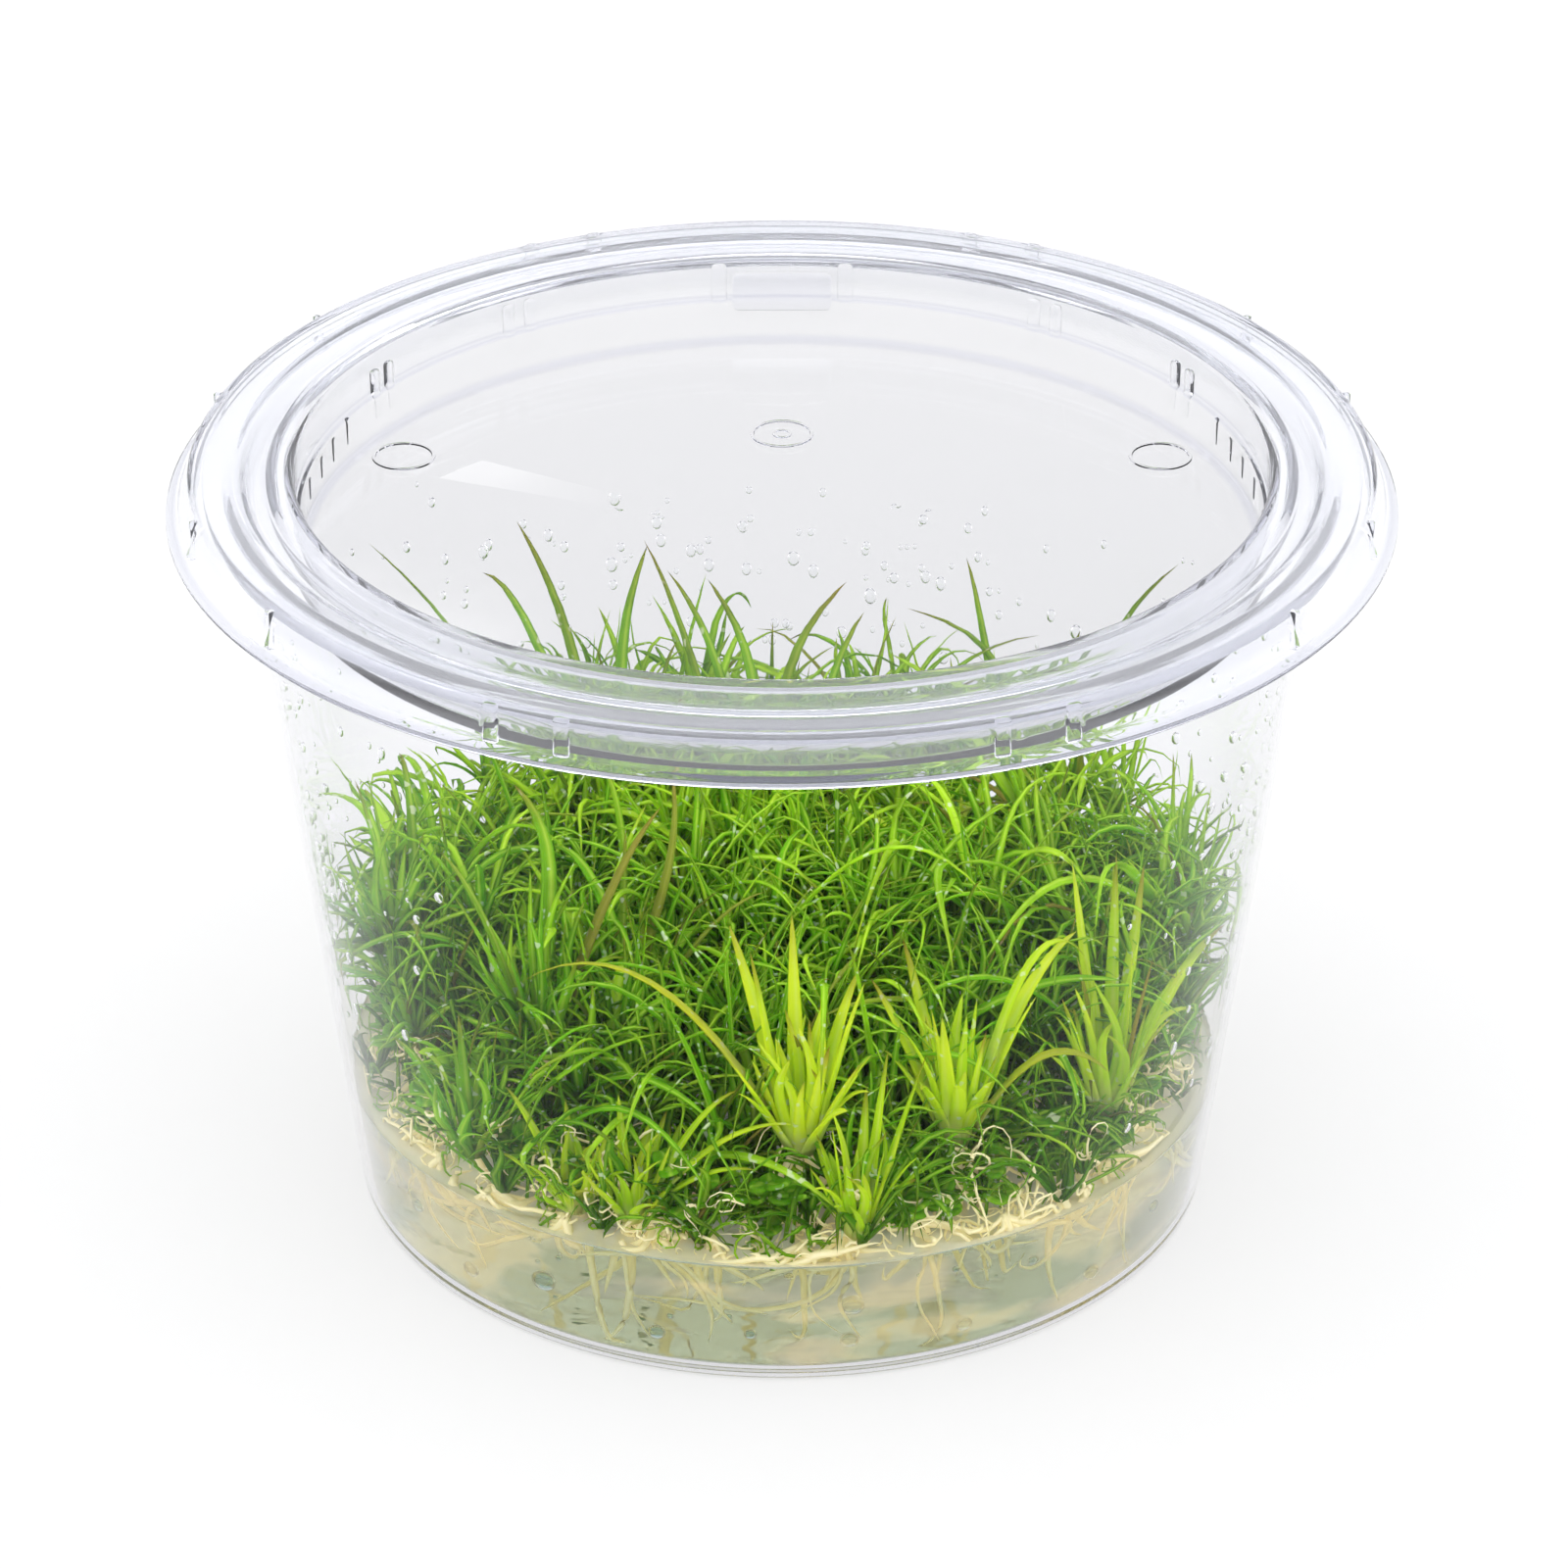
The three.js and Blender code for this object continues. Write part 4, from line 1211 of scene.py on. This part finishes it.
def wander(chance, start, heading, kind):
    # a path that keeps turning gently one way and then the other, inside the cup
    step = chance.uniform(*kind["length"]) / roots["steps"]
    points = [np.array(start, float)]
    heading = np.array(heading, float)
    heading /= np.linalg.norm(heading)
    spin = chance.normal(0, 1, 3)
    for _ in range(roots["steps"]):
        spin = spin * 0.8 + chance.normal(0, 0.5, 3)
        heading = heading + np.cross(spin, heading) * kind["curl"]
        heading /= np.linalg.norm(heading)
        point = points[-1] + heading * step
        room = innerRadius(point[2]) - 1.0
        distance = math.hypot(point[0], point[1])
        if distance > room:
            point[:2] *= room / distance
        point[2] = min(max(point[2], kind["heights"][0]), kind["heights"][1])
        points.append(point)
    return np.array(points)


def tubeAlong(template, points, radius):
    # lays the root template along a path of points
    t = template["places"][:, 2].clip(0, 1) * (len(points) - 1)
    low = np.minimum(t.astype(int), len(points) - 2)
    part = (t - low)[:, None]
    centres = points[low] * (1 - part) + points[low + 1] * part
    tangents = np.gradient(points, axis=0)
    along = tangents[low] * (1 - part) + tangents[low + 1] * part
    along /= np.maximum(np.linalg.norm(along, axis=1, keepdims=True), 1e-9)
    guide = np.where(np.abs(along[:, 2:3]) > 0.9, np.array((1.0, 0, 0)), np.array((0, 0, 1.0)))
    side = np.cross(along, guide)
    side /= np.linalg.norm(side, axis=1, keepdims=True)
    up = np.cross(side, along)
    return centres + (side * template["places"][:, 0:1] + up * template["places"][:, 1:2]) * 2 * radius


def makeRoots():
    chance = np.random.default_rng(roots["seed"])
    heap = Heap()
    crowns = [plant["crown"] for plant in plants]
    surface = bed["gelTop"]
    wall = innerRadius(surface)

    def addRoot(start, heading, kind):
        path = wander(chance, start, heading, roots[kind])
        heap.add(rootBlade, tubeAlong(rootBlade, path, chance.uniform(*roots["radius"])), (0, 0, 0))

    for k in range(roots["deepRoots"]):
        crown = crowns[k % len(crowns)]
        start = (crown[0] + chance.normal(0, 1), crown[1] + chance.normal(0, 1), surface + 0.5)
        outward = np.array((crown[0], crown[1], 0)) / 30
        heading = outward * chance.uniform(0, 1.4) + (chance.normal(0, 0.5), chance.normal(0, 0.5), -1)
        addRoot(start, heading, "deep")
    for k in range(roots["fans"]):
        angle = roots["fanSpread"] * (2 * (k + chance.uniform(0.2, 0.8)) / roots["fans"] - 1)
        hub = onCircle(angle, wall - chance.uniform(1.8, 5), surface + 1)
        for _ in range(roots["fanRoots"]):
            turn = angle - math.pi / 2 + chance.normal(0, 1.1)
            addRoot(hub, (math.cos(turn), math.sin(turn), -chance.uniform(0.2, 1.6)), "fan")
    for k in range(roots["threads"]):
        angle = chance.normal(0, roots["threadSpread"])
        radius = wall - 1.3 - abs(chance.normal(0, 4))
        kind = roots["climber" if chance.random() < roots["climbing"] else "thread"]
        start = onCircle(angle, radius, surface + chance.uniform(*kind["start"]))
        turn = chance.uniform(0, 2 * math.pi)
        path = wander(chance, start, (math.cos(turn), math.sin(turn), chance.uniform(-0.2, 0.3)), kind)
        green = chance.random() < roots["runners"]
        places = tubeAlong(rootBlade, path, chance.uniform(*roots["threadRadius"]))
        heap.add(rootBlade, places, (chance.uniform(0.4, 0.9), chance.uniform(0, 0.2), 0), 1 if green else 0)
    finishPiece(heap.build("root_threads"), (), [rootFinish, greenLeaf])


makeRoots()
print("roots made")


pads = {
    "seed": 9,
    "groups": 160,
    "spread": 1.35,                         # to each side of the front, in radians
    "height": (11.8, 17),
    "size": (1.1, 2.5),
}


def makePads():
    # small round leaves in twos and threes, low round the edge of the bed
    chance = np.random.default_rng(pads["seed"])
    heap = Heap()
    for _ in range(pads["groups"]):
        angle = chance.normal(0, pads["spread"])
        radius = innerRadius(12) - 2.4 - 1.6 * math.cos(angle) - abs(chance.normal(0, 4))
        hub = onCircle(angle, radius, chance.uniform(*pads["height"]))
        tall = hub[2] - bed["gelTop"]
        stalk = strand(hub - (0, 0, tall), angle, 0.4, tall, 0)
        tone = chance.uniform(0.2, 0.6)
        heap.add(fineBlade, bentBlade(fineBlade, stalk, 0.4, 0.4), (tone, 0, 0))
        first = chance.uniform(0, 2 * math.pi)
        for k in range(chance.integers(2, 4)):
            turn = first + k * 2.1 + chance.normal(0, 0.2)
            size = chance.uniform(*pads["size"])
            path = strand(hub, turn, size * 0.95, size * chance.uniform(0.05, 0.5), 0)
            heap.add(padLeaf, bentBlade(padLeaf, path, size, 0.5, 0, chance.normal(0, 0.3)), (tone, 0, 0))
    finishPiece(heap.build("round_leaves"), (), [greenLeaf])


makePads()
print("round leaves made")


drops = {
    "seed": 23,
    # how many, their heights, and the middle and spread of their angles from the front, in radians
    "backWall": 120,
    "backHeight": (28, 43),
    "backAngle": (math.pi, 0.62),
    "sideWalls": 260,
    "sideHeight": (16, 50),
    "sideAngle": (1.62, 0.36),
    "size": (0.18, 0.62),
    "leafBeads": 4200,
    "beadSize": (0.06, 0.14),
}


def dropOnWall(heap, chance, angle, height, size):
    # the flat side of the template faces the wall
    out, across = onCircle(angle, 1, 0), np.array((math.cos(angle), math.sin(angle), 0))
    lean = (cup["mouthRadius"] - cup["baseRadius"]) / cup["wallTop"]
    up = out * lean + (0, 0, 1)
    shape = wallDrop["places"]
    places = (onCircle(angle, innerRadius(height) - 0.02, height) + across * shape[:, 0:1] * size
              + out * shape[:, 1:2] * size + up * shape[:, 2:3] * size * chance.uniform(1, 1.25))
    heap.add(wallDrop, places, (0, 0, 0))


def makeDrops():
    chance = np.random.default_rng(drops["seed"])
    heap = Heap()
    low, high = drops["size"]
    for _ in range(drops["backWall"]):
        angle = chance.normal(*drops["backAngle"])
        height = chance.uniform(*drops["backHeight"])
        dropOnWall(heap, chance, angle, height, low + (high - low) * chance.random() ** 1.6)
    for _ in range(drops["sideWalls"]):
        angle = chance.choice((-1, 1)) * chance.normal(*drops["sideAngle"])
        height = chance.uniform(*drops["sideHeight"])
        dropOnWall(heap, chance, angle, height, low + (high - low) * 0.7 * chance.random() ** 2)
    finishPiece(heap.build("wall_drops"), (), [waterFinish])


def makeBeads():
    # tiny beads of water sitting on the leaves
    chance = np.random.default_rng(drops["seed"] + 1)
    heap = Heap()
    corners = np.concatenate([[v.co for v in piece.data.vertices] for piece in plantPieces]) / mm
    corners = corners[corners[:, 2] > 14]
    for spot in corners[chance.integers(0, len(corners), drops["leafBeads"])]:
        size = chance.uniform(*drops["beadSize"])
        heap.add(bead, spot + (0, 0, size * 0.5) + bead["places"] * size, (0, 0, 0))
    finishPiece(heap.build("leaf_beads"), (), [waterFinish])


makeDrops()
makeBeads()
print("drops made")


studio = {
    "floorSize": 6.0,
    "floorShade": ((0.18, 0.18, 0.18), (0.185, 0.185, 0.185)),
    "floorGlow": 0.645,                     # a pale table lit from below keeps the shadow faint
    # brightness of the sky by direction: dim behind the cup, bright in front, overhead and at the sides
    "skyBack": (0.22, 0.225, 0.24),
    "skyFront": (1.0, 1.0, 1.02),
    "skySide": (1.3, 1.3, 1.32),
    "skyTop": (1.55, 1.55, 1.55),
    "skyStrength": 2.05,
    # a soft panel behind the cup that the lid mirrors: its corners, across and up, and how far back it is
    "softPanel": ((-0.054, 0.1205), (-0.0110, 0.1132), (-0.0190, 0.132), (-0.054, 0.132)),
    "softPanelBack": 0.15,
    "softPanelGlow": 2.8,
    "bounces": 28,                          # enough for the clear walls behind one another
}


def makeSoftPanel():
    startClean()
    bpy.ops.mesh.primitive_grid_add(x_subdivisions=8, y_subdivisions=8, size=2)
    panel = bpy.context.object
    panel.name = "soft_panel"
    a, b, c, d = (np.array(corner) for corner in studio["softPanel"])
    for vertex in panel.data.vertices:
        u, v = vertex.co.x / 2 + 0.5, vertex.co.y / 2 + 0.5
        across, up = (a * (1 - u) + b * u) * (1 - v) + (d * (1 - u) + c * u) * v
        vertex.co = (across, studio["softPanelBack"], up)
    material, table = newMaterial("softPanelGlow")
    u, v = table.add("SeparateXYZ", "X", {"Vector": table.add("UVMap", "UV")}).node.outputs[:2]
    fading = table.maths('MULTIPLY', table.ranged(u, 1, 0, 0.6, 1.0), table.ranged(v, 1, 0, 0.5, 1.0))
    glow = table.add("Emission", "Emission", {"Strength": studio["softPanelGlow"]})
    table.covered(fading, table.add("BsdfTransparent", "BSDF"), glow)
    material.cycles.emission_sampling = 'NONE'
    panel.data.materials.append(material)
    panel.visible_camera = False
    panel.visible_shadow = False


def makeStudio():
    startClean()
    bpy.ops.mesh.primitive_plane_add(size=studio["floorSize"])
    floor = bpy.context.object
    floor.name = "studio_floor"
    material, table = newMaterial("paleFloor")
    table.shade({"Base Color": table.blended(table.noise(20, 2), *studio["floorShade"]),
                 "Emission Color": (1, 1, 1), "Emission Strength": studio["floorGlow"],
                 "Roughness": 0.9, "Specular IOR Level": 0.1})
    material.cycles.emission_sampling = 'NONE'
    floor.data.materials.append(material)

    makeSoftPanel()

    world = bpy.data.worlds.new("softSky")
    bpy.context.scene.world = world
    world.use_nodes = True
    table = NodeTable(world.node_tree)
    x, y, z = table.add("SeparateXYZ", "X", {"Vector": table.add("TexCoord", "Generated")}).node.outputs
    around = table.blended(table.ranged(y, 1, 0, -0.1, 0.45), studio["skyBack"], studio["skyFront"])
    beside = table.ranged(table.maths('ABSOLUTE', x), 0, 1, 0.75, 0.92)
    around = table.blended(beside, around, studio["skySide"])
    sky = table.nodes["Background"].inputs
    table.feed(sky["Color"], table.blended(table.ranged(z, 0, 1, 0.55, 0.9), around, studio["skyTop"]))
    table.feed(sky["Strength"], studio["skyStrength"])
    world.cycles.sampling_method = 'NONE'

    scene = bpy.context.scene
    scene.view_settings.view_transform = 'Standard'
    scene.cycles.max_bounces = scene.cycles.transmission_bounces = studio["bounces"]
    scene.cycles.diffuse_bounces = scene.cycles.glossy_bounces = 4


makeStudio()
print("studio set")
